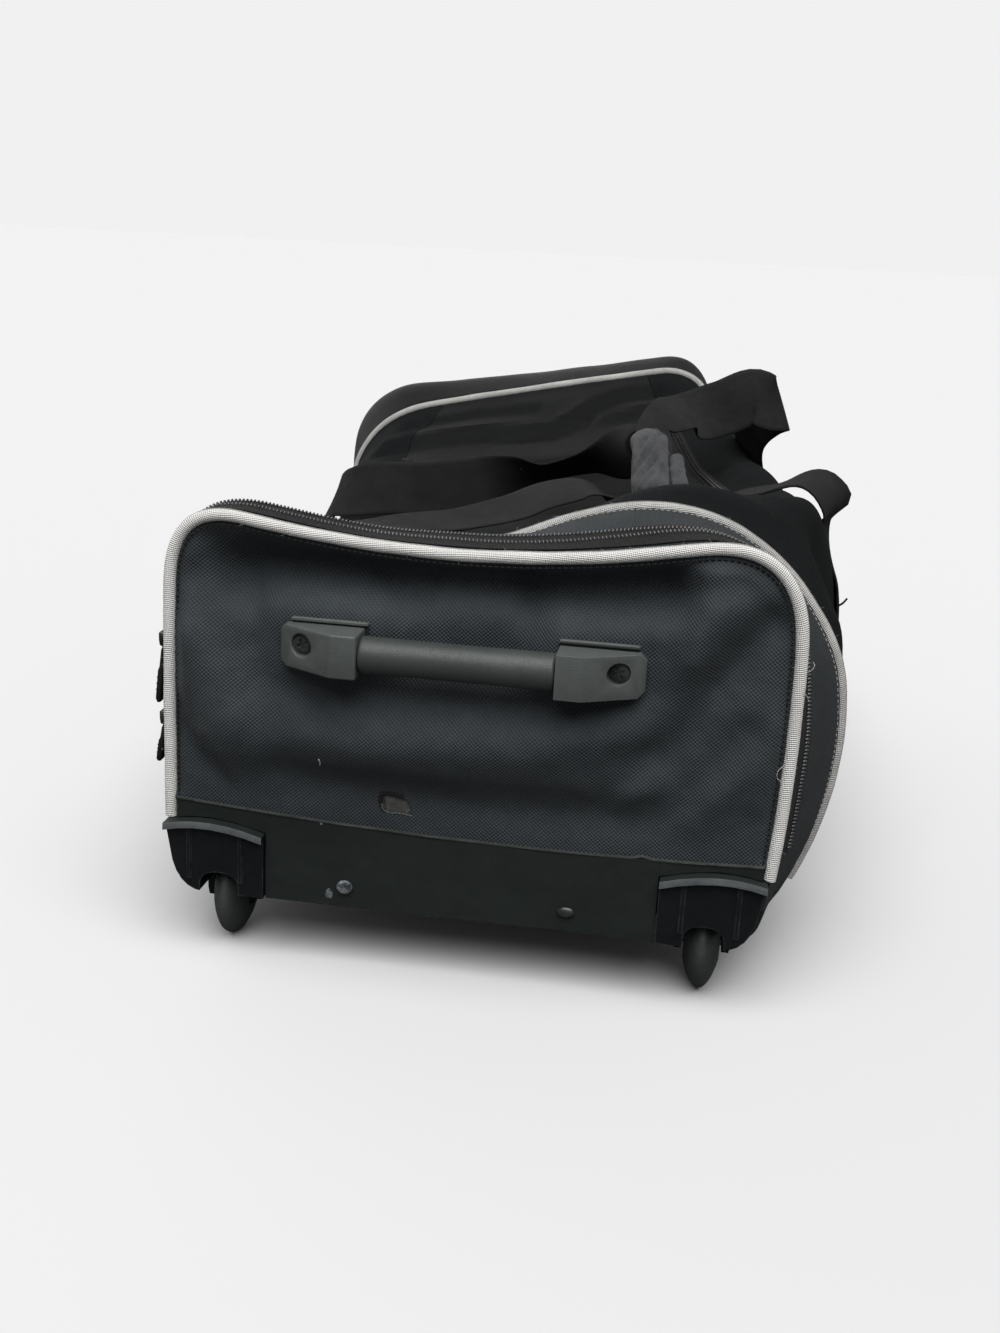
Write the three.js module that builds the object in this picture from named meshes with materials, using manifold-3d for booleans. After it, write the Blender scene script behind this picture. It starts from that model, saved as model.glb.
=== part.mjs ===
// Wheeled duffel bag, empty and slumped to its left, standing on two wheels and the far end of its base.
// Millimetres, +Z up. The wheeled end faces -Y and the bag runs back along +Y.

import * as THREE from "three";
import { mergeVertices } from "three/addons/utils/BufferGeometryUtils.js";
import Module from "manifold-3d";

const wasm = await Module();
wasm.setup();

// Driving dimensions
const endSeam = 400; // outer seam of either end, from the middle of the bag
const pocketDepth = 70; // between the outer and inner seam of an end
const innerSeam = endSeam - pocketDepth;
const clothThickness = 1.8;
const seamGap = 0.5; // between neighbouring pieces
const pipingRadius = 3.5;
const zipWidth = 12;
const zipThickness = 1.8;
const webbingWidth = 50;
const webbingThickness = 1.8;
const webbingSteps = 44; // along one carry handle
const guardTop = 92; // in the middle; its top edge rises to either side
const guardThickness = 2;
const guardFootZ = 40.5;
const baseRounding = 18;
const wheelRadius = 31;
const wheelWidth = 22;
const wheelSpread = 150; // from the middle of the wheeled end to a wheel
const wheelY = -370;
const wheelMiddle = -3;
const axleRadius = 4;
const earRadius = 8.5; // of the two lugs that carry an axle below its housing
const earThickness = 4.5;
const handleZ = 208;
const handleX = -6;
const gripRadius = 11;
const gripHalf = 56.5;
const handleHalf = 107;
const screwHalf = 92;
const screwRise = 2; // above the grip
const footprintMiddle = [-19.5, -11.2]; // of the whole bag, so that the origin lies under its middle

function table(columns, rows) {
  return rows.map((row) => Object.fromEntries(columns.map((column, k) => [column, row[k]])));
}

// A row for each station along the bag: the height and the two feet of its base, its two walls at mid
// height, its two top corners, how far the top sags between them and how round each corner is
const stationColumns = [
  "y", "base", "footL", "footR", "wallL", "wallR", "leftX", "leftZ", "rightX", "rightZ",
  "sag", "roundL", "roundR",
];
const stations = table(
  stationColumns,
  [
    [-400, 44, -185, 178, -186, 187, -184, 288, 183, 295, 25, 50, 66],
    [-366, 42, -184, 182, -195, 199, -183, 292, 168, 308, 28, 54, 96],
    [-330, 41, -184, 188, -203, 217, -180, 248, 147, 336, 35, 60, 138],
    [-200, 34, -184, 184, -220, 225, -194, 236, 188, 290, 26, 45, 36],
    [-60, 25, -188, 180, -234, 220, -210, 206, 194, 270, 34, 42, 40],
    [80, 16, -194, 174, -240, 212, -218, 184, 187, 262, 34, 42, 40],
    [180, 9, -200, 166, -244, 198, -226, 182, 170, 268, 28, 42, 42],
    [270, 3, -206, 158, -250, 176, -244, 226, 134, 298, 6, 44, 44],
    [330, 0, -212, 148, -255, 152, -255, 255, 103, 330, -2, 45, 42],
    [368, 0, -214, 148, -260, 150, -265, 284, 99, 343, 5, 42, 40],
    [400, 0, -210, 144, -250, 146, -252, 262, 92, 322, 4, 45, 42],
  ],
);

// A row for each fold of the skin: a line in space, how wide the fold is and how deep it goes inwards
const skinFolds = [
  { from: [-225, 292, 212], to: [120, 292, 290], width: 22, depth: 9 },
  { from: [-238, -110, 120], to: [-246, 120, 105], width: 26, depth: 12 },
  { from: [-210, -60, 205], to: [-60, 90, 190], width: 30, depth: 8 },
  { from: [190, 60, 250], to: [60, 170, 215], width: 30, depth: 9 },
  { from: [206, -236, 248], to: [220, -205, 150], width: 30, depth: 13 },
  { from: [212, 20, 205], to: [206, 150, 110], width: 24, depth: 7 },
];

// A row for each fold of the end panel at the wheels, as a line across its face
const panelFolds = [
  { from: [-125, 250], to: [115, 252], width: 17, depth: 7 },
  { from: [-172, 240], to: [-118, 165], width: 15, depth: 5 },
  { from: [-178, 170], to: [-120, 120], width: 16, depth: -4 },
  { from: [172, 236], to: [112, 160], width: 17, depth: 5 },
  { from: [178, 180], to: [130, 122], width: 16, depth: -4 },
  { from: [-44, 208], to: [32, 208], width: 26, depth: 13 },
  { from: [-60, 146], to: [70, 150], width: 26, depth: -4 },
];

// Where the cloth skin is divided: shares of each stretch of its section
const cornerSteps = [0, 0.25, 0.5, 0.75];
const wallSteps = [0, 0.005, 0.2, 0.4, 0.6, 0.8, 0.995];
const baseSteps = [0, 0.25, 0.5, 0.75];
const zipEdge = 0.04;
const zipHalf = 0.019;
const zipSlit = 0.0012;
const topSteps = [
  0, zipEdge - zipHalf, zipEdge - zipSlit, zipEdge + zipSlit, zipEdge + zipHalf, 0.2, 0.35, 0.5,
  0.65, 0.8, 1 - zipEdge - zipHalf, 1 - zipEdge - zipSlit, 1 - zipEdge + zipSlit, 1 - zipEdge + zipHalf,
];

const group = new THREE.Group();
group.name = "wheeled_duffel_bag";
group.position.set(-footprintMiddle[0], -footprintMiddle[1], 0);

function look(color, roughness, metalness = 0) {
  return new THREE.MeshStandardMaterial({ color, roughness, metalness });
}

const looks = {
  cloth: () => look(0x2b3034, 0.9),
  coatedCloth: () => look(0x1f2321, 0.55),
  piping: () => look(0xc9c7c2, 0.85),
  zip: () => look(0x151515, 0.5),
  webbing: () => look(0x1c1c1c, 0.9),
  padding: () => look(0x47484b, 0.9),
  plastic: () => look(0x3f4344, 0.5),
  blackPlastic: () => look(0x17191b, 0.45),
  board: () => look(0x8d9091, 0.6),
  tyre: () => look(0x2b2d2f, 0.75),
  steel: () => look(0x8b8c8c, 0.4, 1),
};

function add(name, geometry, material) {
  const mesh = new THREE.Mesh(geometry, material);
  mesh.name = name;
  group.add(mesh);
}

// Adding and cutting solids

function toSolid(geometry) {
  const bare = geometry.clone();
  bare.deleteAttribute("normal");
  bare.deleteAttribute("uv");
  const welded = mergeVertices(bare, 1e-4);
  return new wasm.Manifold(new wasm.Mesh({
    numProp: 3,
    vertProperties: new Float32Array(welded.attributes.position.array),
    triVerts: new Uint32Array(welded.index.array),
  }));
}

function toGeometry(solid) {
  const mesh = solid.getMesh();
  const geometry = new THREE.BufferGeometry();
  geometry.setAttribute("position", new THREE.BufferAttribute(new Float32Array(mesh.vertProperties), 3));
  geometry.setIndex(new THREE.BufferAttribute(new Uint32Array(mesh.triVerts), 1));
  geometry.computeVertexNormals();
  return geometry;
}

function cut(geometry, ...tools) {
  return toGeometry(tools.reduce((solid, tool) => solid.subtract(toSolid(tool)), toSolid(geometry)));
}

function join(geometry, ...others) {
  return toGeometry(others.reduce((solid, other) => solid.add(toSolid(other)), toSolid(geometry)));
}

function keepInside(geometry, bound) {
  return toGeometry(toSolid(geometry).intersect(toSolid(bound)));
}

// A flat shape drawn in x and z, made solid between two places along y
function slab(shape, yFrom, yTo, curveSegments = 6) {
  const settings = { depth: yTo - yFrom, bevelEnabled: false, curveSegments };
  const geometry = new THREE.ExtrudeGeometry(shape, settings);
  geometry.rotateX(Math.PI / 2);
  geometry.translate(0, yTo, 0);
  return geometry;
}

function block(x0, x1, y0, y1, z0, z1) {
  const geometry = new THREE.BoxGeometry(x1 - x0, y1 - y0, z1 - z0);
  geometry.translate((x0 + x1) / 2, (y0 + y1) / 2, (z0 + z1) / 2);
  return geometry;
}

// A cylinder along x or along y
function rod(axis, radius, length, center, sides) {
  const geometry = new THREE.CylinderGeometry(radius, radius, length, sides);
  if (axis === "x") geometry.rotateZ(Math.PI / 2);
  geometry.translate(...center);
  return geometry;
}

function mirrored(geometry) {
  const copy = geometry.index ? geometry.toNonIndexed() : geometry.clone();
  const places = copy.attributes.position;
  for (let i = 0; i < places.count; i += 3) {
    const corners = [0, 2, 1].map((k) => new THREE.Vector3().fromBufferAttribute(places, i + k));
    corners.forEach((corner, k) => places.setXYZ(i + k, -corner.x, corner.y, corner.z));
  }
  copy.computeVertexNormals();
  return copy;
}

// The skin of the bag

// Smooth passage of one column through the stations, without overshoot
function stationValue(y, column) {
  const last = stations.length - 2;
  const k = Math.min(last, Math.max(0, stations.findIndex((row) => row.y > y) - 1));
  const spot = y >= stations[last].y ? last : k;
  const slope = (i) => {
    const [a, b] = [stations[i], stations[i + 1]];
    return (b[column] - a[column]) / (b.y - a.y);
  };
  const tangent = (i) => {
    if (i === 0) return slope(0);
    if (i === stations.length - 1) return slope(i - 1);
    const [before, after] = [slope(i - 1), slope(i)];
    return before * after <= 0 ? 0 : (2 * before * after) / (before + after);
  };
  const [a, b] = [stations[spot], stations[spot + 1]];
  const step = b.y - a.y;
  const t = (y - a.y) / step;
  const [t2, t3] = [t * t, t * t * t];
  return (2 * t3 - 3 * t2 + 1) * a[column] + (t3 - 2 * t2 + t) * step * tangent(spot)
    + (3 * t2 - 2 * t3) * b[column] + (t3 - t2) * step * tangent(spot + 1);
}

const outlines = new Map();

// The section at y as a ring of points: from the left foot up the left wall, over the top and back below
function outline(y) {
  if (outlines.has(y)) return outlines.get(y);
  const at = (column) => stationValue(y, column);
  const corners = [
    new THREE.Vector2(at("footL"), at("base")),
    new THREE.Vector2(at("leftX"), at("leftZ")),
    new THREE.Vector2(at("rightX"), at("rightZ")),
    new THREE.Vector2(at("footR"), at("base")),
  ];
  const between = (k) => corners[k].clone().add(corners[(k + 1) % 4]).multiplyScalar(0.5);
  const middles = [
    new THREE.Vector2(at("wallL"), between(0).y),
    new THREE.Vector2(between(1).x, between(1).y - at("sag")),
    new THREE.Vector2(at("wallR"), between(2).y),
    between(3),
  ];
  const sides = middles.map((middle, k) => {
    const pull = middle.clone().multiplyScalar(2).sub(between(k));
    return new THREE.QuadraticBezierCurve(corners[k], pull, corners[(k + 1) % 4]);
  });
  const rounding = [baseRounding, at("roundL"), at("roundR"), baseRounding];
  const share = (side, corner) => rounding[corner % 4] / sides[side].getLength();
  const ring = [];
  const places = {};
  const stretches = ["left", "top", "right", "base"];
  const steps = [wallSteps, topSteps, wallSteps, baseSteps];
  for (let k = 0; k < 4; k += 1) {
    const before = (k + 3) % 4;
    const start = sides[before].getPoint(1 - share(before, k));
    const bend = new THREE.QuadraticBezierCurve(start, corners[k], sides[k].getPoint(share(k, k)));
    places[`${stretches[k]}Bend`] = ring.length;
    cornerSteps.forEach((step) => ring.push(bend.getPoint(step)));
    const [first, last] = [share(k, k), 1 - share(k, k + 1)];
    places[stretches[k]] = ring.length;
    steps[k].forEach((step) => ring.push(sides[k].getPoint(first + (last - first) * step)));
  }
  const found = { ring, places };
  outlines.set(y, found);
  return found;
}

const ringSize = outline(0).ring.length;
const place = outline(0).places;

function distanceToLine(point, from, to) {
  const line = new THREE.Line3(new THREE.Vector3(...from), new THREE.Vector3(...to));
  return line.closestPointToPoint(point, true, new THREE.Vector3()).distanceTo(point);
}

// A point of the skin, lifted off it by some distance
function skin(y, column, lift) {
  const spot = (yy, c) => {
    const p = outline(yy).ring[(c + ringSize) % ringSize];
    return new THREE.Vector3(p.x, yy, p.y);
  };
  const point = spot(y, column);
  const [ahead, behind] = [Math.min(y + 3, endSeam), Math.max(y - 3, -endSeam)];
  const along = spot(ahead, column).sub(spot(behind, column));
  const next = spot(y, column + 1).sub(point).normalize();
  const previous = point.clone().sub(spot(y, column - 1)).normalize();
  const normal = next.add(previous).cross(along).normalize();
  const seamFade = Math.min(1, Math.abs(Math.abs(y) - innerSeam) / 24);
  const dent = skinFolds.reduce((sum, fold) => {
    const distance = distanceToLine(point, fold.from, fold.to);
    return sum + fold.depth * Math.exp(-((distance / fold.width) ** 2));
  }, 0);
  return point.addScaledVector(normal, lift - dent * seamFade);
}

// A closed sheet between two lifts, over the cells of a grid that are present. In a round one the last
// column meets the first
function sheet(rows, columns, surface, inner, outer, present = () => true, round = false) {
  const count = rows.length * columns.length;
  const places = [];
  [outer, inner].forEach((lift) => {
    rows.forEach((row) => {
      columns.forEach((column) => places.push(...surface(row, column, lift).toArray()));
    });
  });
  const high = rows.length - 1;
  const wide = round ? columns.length : columns.length - 1;
  const turned = (j) => (round ? (j + wide) % wide : j);
  const at = (i, j, level) => level * count + i * columns.length + turned(j);
  const has = (i, j) => i >= 0 && i < high && turned(j) >= 0 && turned(j) < wide && present(i, turned(j));
  const faces = [];
  const quad = (a, b, c, d) => faces.push(a, b, c, a, c, d);
  for (let i = 0; i < high; i += 1) {
    for (let j = 0; j < wide; j += 1) {
      if (!has(i, j)) continue;
      quad(at(i, j, 0), at(i, j + 1, 0), at(i + 1, j + 1, 0), at(i + 1, j, 0));
      quad(at(i, j, 1), at(i + 1, j, 1), at(i + 1, j + 1, 1), at(i, j + 1, 1));
      if (!has(i - 1, j)) quad(at(i, j + 1, 0), at(i, j, 0), at(i, j, 1), at(i, j + 1, 1));
      if (!has(i + 1, j)) quad(at(i + 1, j, 0), at(i + 1, j + 1, 0), at(i + 1, j + 1, 1), at(i + 1, j, 1));
      if (!has(i, j - 1)) quad(at(i, j, 0), at(i + 1, j, 0), at(i + 1, j, 1), at(i, j, 1));
      if (!has(i, j + 1)) quad(at(i + 1, j + 1, 0), at(i, j + 1, 0), at(i, j + 1, 1), at(i + 1, j + 1, 1));
    }
  }
  const geometry = new THREE.BufferGeometry();
  geometry.setAttribute("position", new THREE.Float32BufferAttribute(places, 3));
  geometry.setIndex(faces);
  geometry.computeVertexNormals();
  return geometry;
}

function span(first, last) {
  return Array.from({ length: last - first + 1 }, (_, k) => first + k);
}

function skinSheet(rows, columns, inner = -clothThickness, outer = 0, present) {
  return sheet(rows, columns, skin, inner, outer, present);
}

const leftFoot = place.left + 1;
const rightFoot = place.right + wallSteps.length - 1;
const zipColumns = {
  outerLeft: place.top + 1,
  sideLeft: place.top + 2,
  lidLeft: place.top + 3,
  innerLeft: place.top + 4,
  innerRight: place.top + topSteps.length - 4,
  lidRight: place.top + topSteps.length - 3,
  sideRight: place.top + topSteps.length - 2,
  outerRight: place.top + topSteps.length - 1,
};

const clear = pipingRadius + seamGap;
const nearZipY = -375;
const mainZipY = -300;
const lidEnd = 290;
const slit = seamGap;
const nearZipRows = [nearZipY - zipWidth / 2, nearZipY + zipWidth / 2];
const nearGussetRows = [-endSeam + clear, ...nearZipRows, -350, -innerSeam - clear];
const farGussetRows = [innerSeam + clear, 350, 373, endSeam - clear];
const nearStripRows = [-innerSeam + clear, mainZipY - zipWidth / 2, mainZipY - slit];
const lidRows = [
  mainZipY + slit, mainZipY + zipWidth / 2, -250, -212, -176, -124, -60, 10, 70, 120, 170, 215, 255,
  lidEnd - slit,
];
const farStripRows = [lidEnd + slit, 308, innerSeam - clear];
const sideRows = [...nearStripRows, ...lidRows.slice(1), ...farStripRows.slice(1)];
const baseRows = [-endSeam + clear, -innerSeam, -200, -60, 80, 180, 270, 330, endSeam - clear];

// Wheel housings, drawn for the right one about the middle of the wheeled end

const housing = {
  inner: 121.5, outer: 184.5, bottom: 41, innerTop: 83, crown: 94, outerTop: 86,
  front: -407, back: -333, lip: 4.5,
};
const wellWidth = wheelWidth + 3;
const wellRadius = wheelRadius + 3;

function housingShape(grow) {
  const shape = new THREE.Shape();
  shape.moveTo(housing.inner - grow, housing.bottom - grow);
  shape.lineTo(160, housing.bottom - grow);
  shape.quadraticCurveTo(178 + grow, 42 - grow, housing.outer - 3 + grow, 68);
  shape.lineTo(housing.outer + grow, housing.outerTop + grow);
  shape.quadraticCurveTo(156, housing.crown + grow, housing.inner - grow, housing.innerTop + grow);
  return shape;
}

function housingSolid() {
  const lip = new THREE.Shape();
  lip.moveTo(housing.inner, housing.innerTop - housing.lip);
  lip.quadraticCurveTo(156, housing.crown - housing.lip, housing.outer, housing.outerTop - housing.lip);
  lip.lineTo(housing.outer, housing.outerTop);
  lip.quadraticCurveTo(156, housing.crown, housing.inner, housing.innerTop);
  const [ribFront, ribBack] = [housing.front - 1.6, housing.front + 1];
  const ribs = [136, 169].map((x) => block(x - 1.2, x + 1.2, ribFront, ribBack, 50, 86));
  const flange = slab(lip, housing.front - housing.lip, housing.front + 2);
  const ears = [-1, 1].flatMap((side) => {
    const x = wheelSpread + (side * (wellWidth + earThickness)) / 2;
    const [x0, x1] = [x - earThickness / 2, x + earThickness / 2];
    const lug = rod("x", earRadius, earThickness, [x, wheelY, wheelRadius], 8);
    const stem = block(x0, x1, wheelY - earRadius, wheelY + earRadius, wheelRadius, housing.bottom + 9);
    return [lug, stem];
  });
  const body = join(slab(housingShape(0), housing.front, housing.back), flange, ...ribs, ...ears);
  const bore = rod("x", axleRadius + seamGap, 2 * wellWidth, [wheelSpread, wheelY, wheelRadius], 10);
  const well = rod("x", wellRadius, wellWidth, [wheelSpread, wheelY, wheelRadius], 18);
  const [left, right] = [wheelSpread - wellWidth / 2, wheelSpread + wellWidth / 2];
  const [front, back] = [wheelY - wellRadius, wheelY + wellRadius];
  const mouth = block(left, right, front, back, housing.bottom - 20, wheelRadius);
  const arch = new THREE.Shape();
  arch.moveTo(left, housing.bottom - 10);
  arch.lineTo(right, housing.bottom - 10);
  arch.lineTo(right, housing.bottom + 4);
  arch.quadraticCurveTo(right, 55, wheelSpread, 55);
  arch.quadraticCurveTo(left, 55, left, housing.bottom + 4);
  return cut(body, well, mouth, slab(arch, housing.front - 10, wheelY), bore);
}

function housingRoom() {
  const room = slab(housingShape(seamGap), housing.front - 10, housing.back + seamGap);
  const [front, back] = [housing.front - 10, housing.back + seamGap];
  const below = block(housing.inner - seamGap, 176, front, back, housing.bottom - 20, housing.bottom + 2);
  return join(room, below);
}

// The same piece at the right and, mirrored, at the left of the middle of the wheeled end
function pair(right, middle) {
  const left = mirrored(right);
  return { left: left.translate(middle, 0, 0), right: right.clone().translate(middle, 0, 0) };
}

const { left: leftRoom, right: rightRoom } = pair(housingRoom(), wheelMiddle);

// Cloth skins

const baseColumns = span(place.baseBend, ringSize + place.left);
add("base_panel", cut(skinSheet(baseRows, baseColumns), rightRoom, leftRoom), looks.coatedCloth());
add("left_side_panel", skinSheet(sideRows, span(leftFoot, zipColumns.sideLeft)), looks.cloth());
add("right_side_panel", skinSheet(sideRows, span(zipColumns.sideRight, rightFoot)), looks.cloth());
const topColumns = span(zipColumns.lidLeft, zipColumns.lidRight);
add("top_near_strip", skinSheet(nearStripRows, topColumns), looks.cloth());
add("top_far_strip", skinSheet(farStripRows, topColumns), looks.cloth());
add("lid", skinSheet(lidRows, topColumns), looks.cloth());
const nearGusset = skinSheet(nearGussetRows, span(leftFoot, rightFoot));
add("near_gusset", cut(nearGusset, rightRoom, leftRoom), looks.cloth());
add("far_gusset", skinSheet(farGussetRows, span(leftFoot, rightFoot)), looks.coatedCloth());

// End panels: wavy sheets kept inside the outline of their seam

const rimInset = clear + 0.7;

function insideSeam(y, yFrom, yTo) {
  const { ring } = outline(y);
  const inset = ring.map((p, k) => {
    const along = ring[(k + 1) % ringSize].clone().sub(ring[(k + ringSize - 1) % ringSize]).normalize();
    return new THREE.Vector2(p.x + along.y * rimInset, p.y - along.x * rimInset);
  });
  return slab(new THREE.Shape(inset), yFrom, yTo);
}

const seatDepth = 8;
const panelRest = 2;
const panelDome = 9;

function panelBulge(x, z) {
  const rise = THREE.MathUtils.smoothstep(z, guardTop + 6, guardTop + 46);
  const across = Math.max(0, 1 - (x / 190) ** 2);
  const up = Math.sin(Math.PI * THREE.MathUtils.clamp((z - guardTop) / 182, 0, 1));
  const spot = new THREE.Vector3(x, z, 0);
  const dent = panelFolds.reduce((sum, fold) => {
    const distance = distanceToLine(spot, [...fold.from, 0], [...fold.to, 0]);
    return sum + fold.depth * Math.exp(-((distance / fold.width) ** 2));
  }, 0);
  const free = panelRest + rise * (panelDome * across * up - dent);
  const fromSeat = Math.max(Math.abs(Math.abs(x - handleX) - 82) - 30, Math.abs(z - handleZ) - 20);
  return THREE.MathUtils.lerp(seatDepth, free, THREE.MathUtils.smoothstep(fromSeat, 0, 16));
}

const nearFace = (z, x, lift) => new THREE.Vector3(x, -endSeam - panelBulge(x, z) - lift, z);
const farFace = (z, x, lift) => {
  const across = Math.max(0, 1 - ((x + 55) / 210) ** 2);
  const up = Math.sin(Math.PI * THREE.MathUtils.clamp(z / 300, 0, 1));
  return new THREE.Vector3(x, endSeam + 2 + 8 * across * up + lift, z);
};
const nearColumns = [-200, -165, -130, -108, -84, -60, -36, -12, 12, 36, 60, 84, 108, 130, 165, 200];
const nearRows = [20, 70, 100, 118, 136, 156, 174, 190, 210, 230, 246, 262, 300];
const farColumns = [-300, -250, -200, -150, -100, -50, 0, 50, 100, 150, 200];
const farRows = [-20, 40, 90, 140, 190, 240, 290, 360];

const tear = new THREE.Shape();
tear.moveTo(-51, 115);
tear.quadraticCurveTo(-51, 105, -46, 104.5);
tear.lineTo(-34, 104.5);
tear.quadraticCurveTo(-35, 113, -42, 114.5);
const nearCloth = keepInside(
  sheet(nearRows, nearColumns, nearFace, -clothThickness, 0),
  insideSeam(-endSeam, -440, -390),
);
add("near_end_panel", cut(nearCloth, rightRoom, leftRoom, slab(tear, -440, -390)), looks.cloth());
const farCloth = sheet(farRows, [...farColumns].reverse(), farFace, -clothThickness, 0);
add("far_end_panel", keepInside(farCloth, insideSeam(endSeam, 390, 440)), looks.coatedCloth());

// Piping along the four seams, from foot to foot

const bead = new THREE.Shape();
bead.absarc(0, 0, pipingRadius, 0, 2 * Math.PI);

function piping(y, first, last) {
  const points = span(first, last).map((column) => {
    const p = outline(y).ring[column];
    return new THREE.Vector3(p.x, y, p.y);
  });
  const path = new THREE.CatmullRomCurve3(points, false, "centripetal");
  const settings = { steps: 36, curveSegments: 3, bevelEnabled: false, extrudePath: path };
  return new THREE.ExtrudeGeometry(bead, settings);
}

const nearOuter = piping(-endSeam, leftFoot, rightFoot);
add("near_outer_piping", cut(nearOuter, rightRoom, leftRoom), looks.piping());
add("near_inner_piping", piping(-innerSeam, leftFoot, rightFoot), looks.piping());
add("far_inner_piping", piping(innerSeam, leftFoot, rightFoot), looks.piping());
add("far_outer_piping", piping(endSeam, leftFoot, rightFoot), looks.piping());

// Zips

const zipLift = [seamGap, seamGap + zipThickness];
const nearZipColumns = span(place.left + 2, place.right + wallSteps.length - 2);
add("near_zip", cut(skinSheet(nearZipRows, nearZipColumns, ...zipLift), rightRoom, leftRoom), looks.zip());

const mainZipRows = [mainZipY - zipWidth / 2, ...lidRows.slice(1, -1)];
const mainZipColumns = span(zipColumns.outerLeft, zipColumns.outerRight);
const mainZipPresent = (i, j) => {
  const column = mainZipColumns[j];
  const onSide = column < zipColumns.innerLeft || column >= zipColumns.innerRight;
  return i === 0 || onSide;
};
add("main_zip", skinSheet(mainZipRows, mainZipColumns, ...zipLift, mainZipPresent), looks.zip());

// How far left the skin reaches at a height, for the sliders on the zip of the end pocket
function leftReach(y, z) {
  const wall = outline(y).ring;
  const column = span(place.left, place.top).find((c) => wall[c].y > z);
  const [low, high] = [wall[column - 1], wall[column]];
  return low.x + ((high.x - low.x) * (z - low.y)) / (high.y - low.y);
}

// A row for each slider: its height and the length of its pull
const sliders = [
  { name: "upper", z: 190, pull: 36 },
  { name: "lower", z: 139, pull: 24 },
];
sliders.forEach(({ name, z, pull }) => {
  const reach = Math.min(leftReach(nearZipY + 5, z - 2), leftReach(nearZipY + 5, z + 9));
  const x = reach - zipLift[1];
  const slider = block(x - 5, x - seamGap, nearZipY - 5, nearZipY + 5, z - 1, z + 9);
  add(`zip_slider_${name}`, slider, looks.steel());
  const tab = new THREE.Shape();
  tab.moveTo(x - 4.4, z - 1.5);
  tab.lineTo(x - 1.4, z - 1.5);
  tab.lineTo(x - 4, z - 1.5 - pull);
  tab.lineTo(x - 8, z - 1.5 - pull);
  add(`zip_pull_${name}`, slab(tab, nearZipY - 4, nearZipY + 4), looks.blackPlastic());
});

// Base guard, stiffener and rivets

const guardBack = -endSeam - panelRest - seamGap;
const guardFront = guardBack - guardThickness;
const guardFace = new THREE.Shape();
guardFace.moveTo(-200, guardFootZ);
guardFace.lineTo(200, guardFootZ);
guardFace.lineTo(200, guardTop + 9);
guardFace.quadraticCurveTo(20, guardTop - 10, -200, guardTop + 9);
const guardPlate = keepInside(slab(guardFace, guardFront, guardBack, 12), insideSeam(-endSeam, -440, -390));
const guardFoot = block(-170, 166, guardFront, -endSeam + clear - seamGap, guardFootZ, guardFootZ + 2.5);
const guardRise = block(-170, 166, guardFront, guardBack, guardFootZ + 1, guardFootZ + 12);
const guardRoom = block(150, 200, guardFront - 10, -endSeam + 10, 10, 74);
const guardRooms = pair(guardRoom, wheelMiddle);
const guard = join(guardPlate, guardFoot, guardRise);
add("base_guard", cut(guard, leftRoom, rightRoom, guardRooms.left, guardRooms.right), looks.coatedCloth());
const boardFront = -endSeam - panelRest + clothThickness + seamGap;
add("stiffener_board", block(-116, 108, boardFront, boardFront + 2, 50, 120), looks.board());

const dome = [[0, 0], [5.5, 0], [5.2, 1.4], [3.6, 2.8], [0, 3.4]];
const rivetProfile = dome.map((p) => new THREE.Vector2(...p));
[["left", -73], ["right", 64]].forEach(([side, x]) => {
  const rivet = new THREE.LatheGeometry(rivetProfile, 10);
  rivet.rotateX(Math.PI);
  rivet.translate(x, guardFront - seamGap, 54);
  add(`base_rivet_${side}`, rivet, looks.steel());
});

// Wheels, axles and housings

const boreRadius = axleRadius + seamGap;
const tread = [
  [boreRadius, -wheelWidth / 2], [15, -wheelWidth / 2], [23, -8.8], [28.6, -4.9], [wheelRadius, 0],
  [28.6, 4.9], [23, 8.8], [15, wheelWidth / 2], [boreRadius, wheelWidth / 2], [boreRadius, -wheelWidth / 2],
].map((p) => new THREE.Vector2(...p));

function wheel(x) {
  const geometry = new THREE.LatheGeometry(tread, 16);
  geometry.rotateZ(-Math.PI / 2);
  geometry.translate(x, wheelY, wheelRadius);
  return geometry;
}

const housings = pair(housingSolid(), wheelMiddle);
add("left_wheel_housing", housings.left, looks.blackPlastic());
add("right_wheel_housing", housings.right, looks.blackPlastic());
[["left", wheelMiddle - wheelSpread], ["right", wheelMiddle + wheelSpread]].forEach(([side, x]) => {
  add(`${side}_wheel`, wheel(x), looks.tyre());
  const axle = rod("x", axleRadius, wellWidth + 2 * earThickness, [x, wheelY, wheelRadius], 10);
  add(`${side}_axle`, axle, looks.steel());
});

// Pull handle, drawn for its right bracket

const seatY = -endSeam - seatDepth - seamGap;
const boxDepth = 24;
const gripY = seatY - boxDepth / 2 - seamGap;
const bracketHeight = 26;
const bracketChamfer = 4;
const recessFloor = seatY - 7;
const screwY = recessFloor - 1.1;

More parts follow.
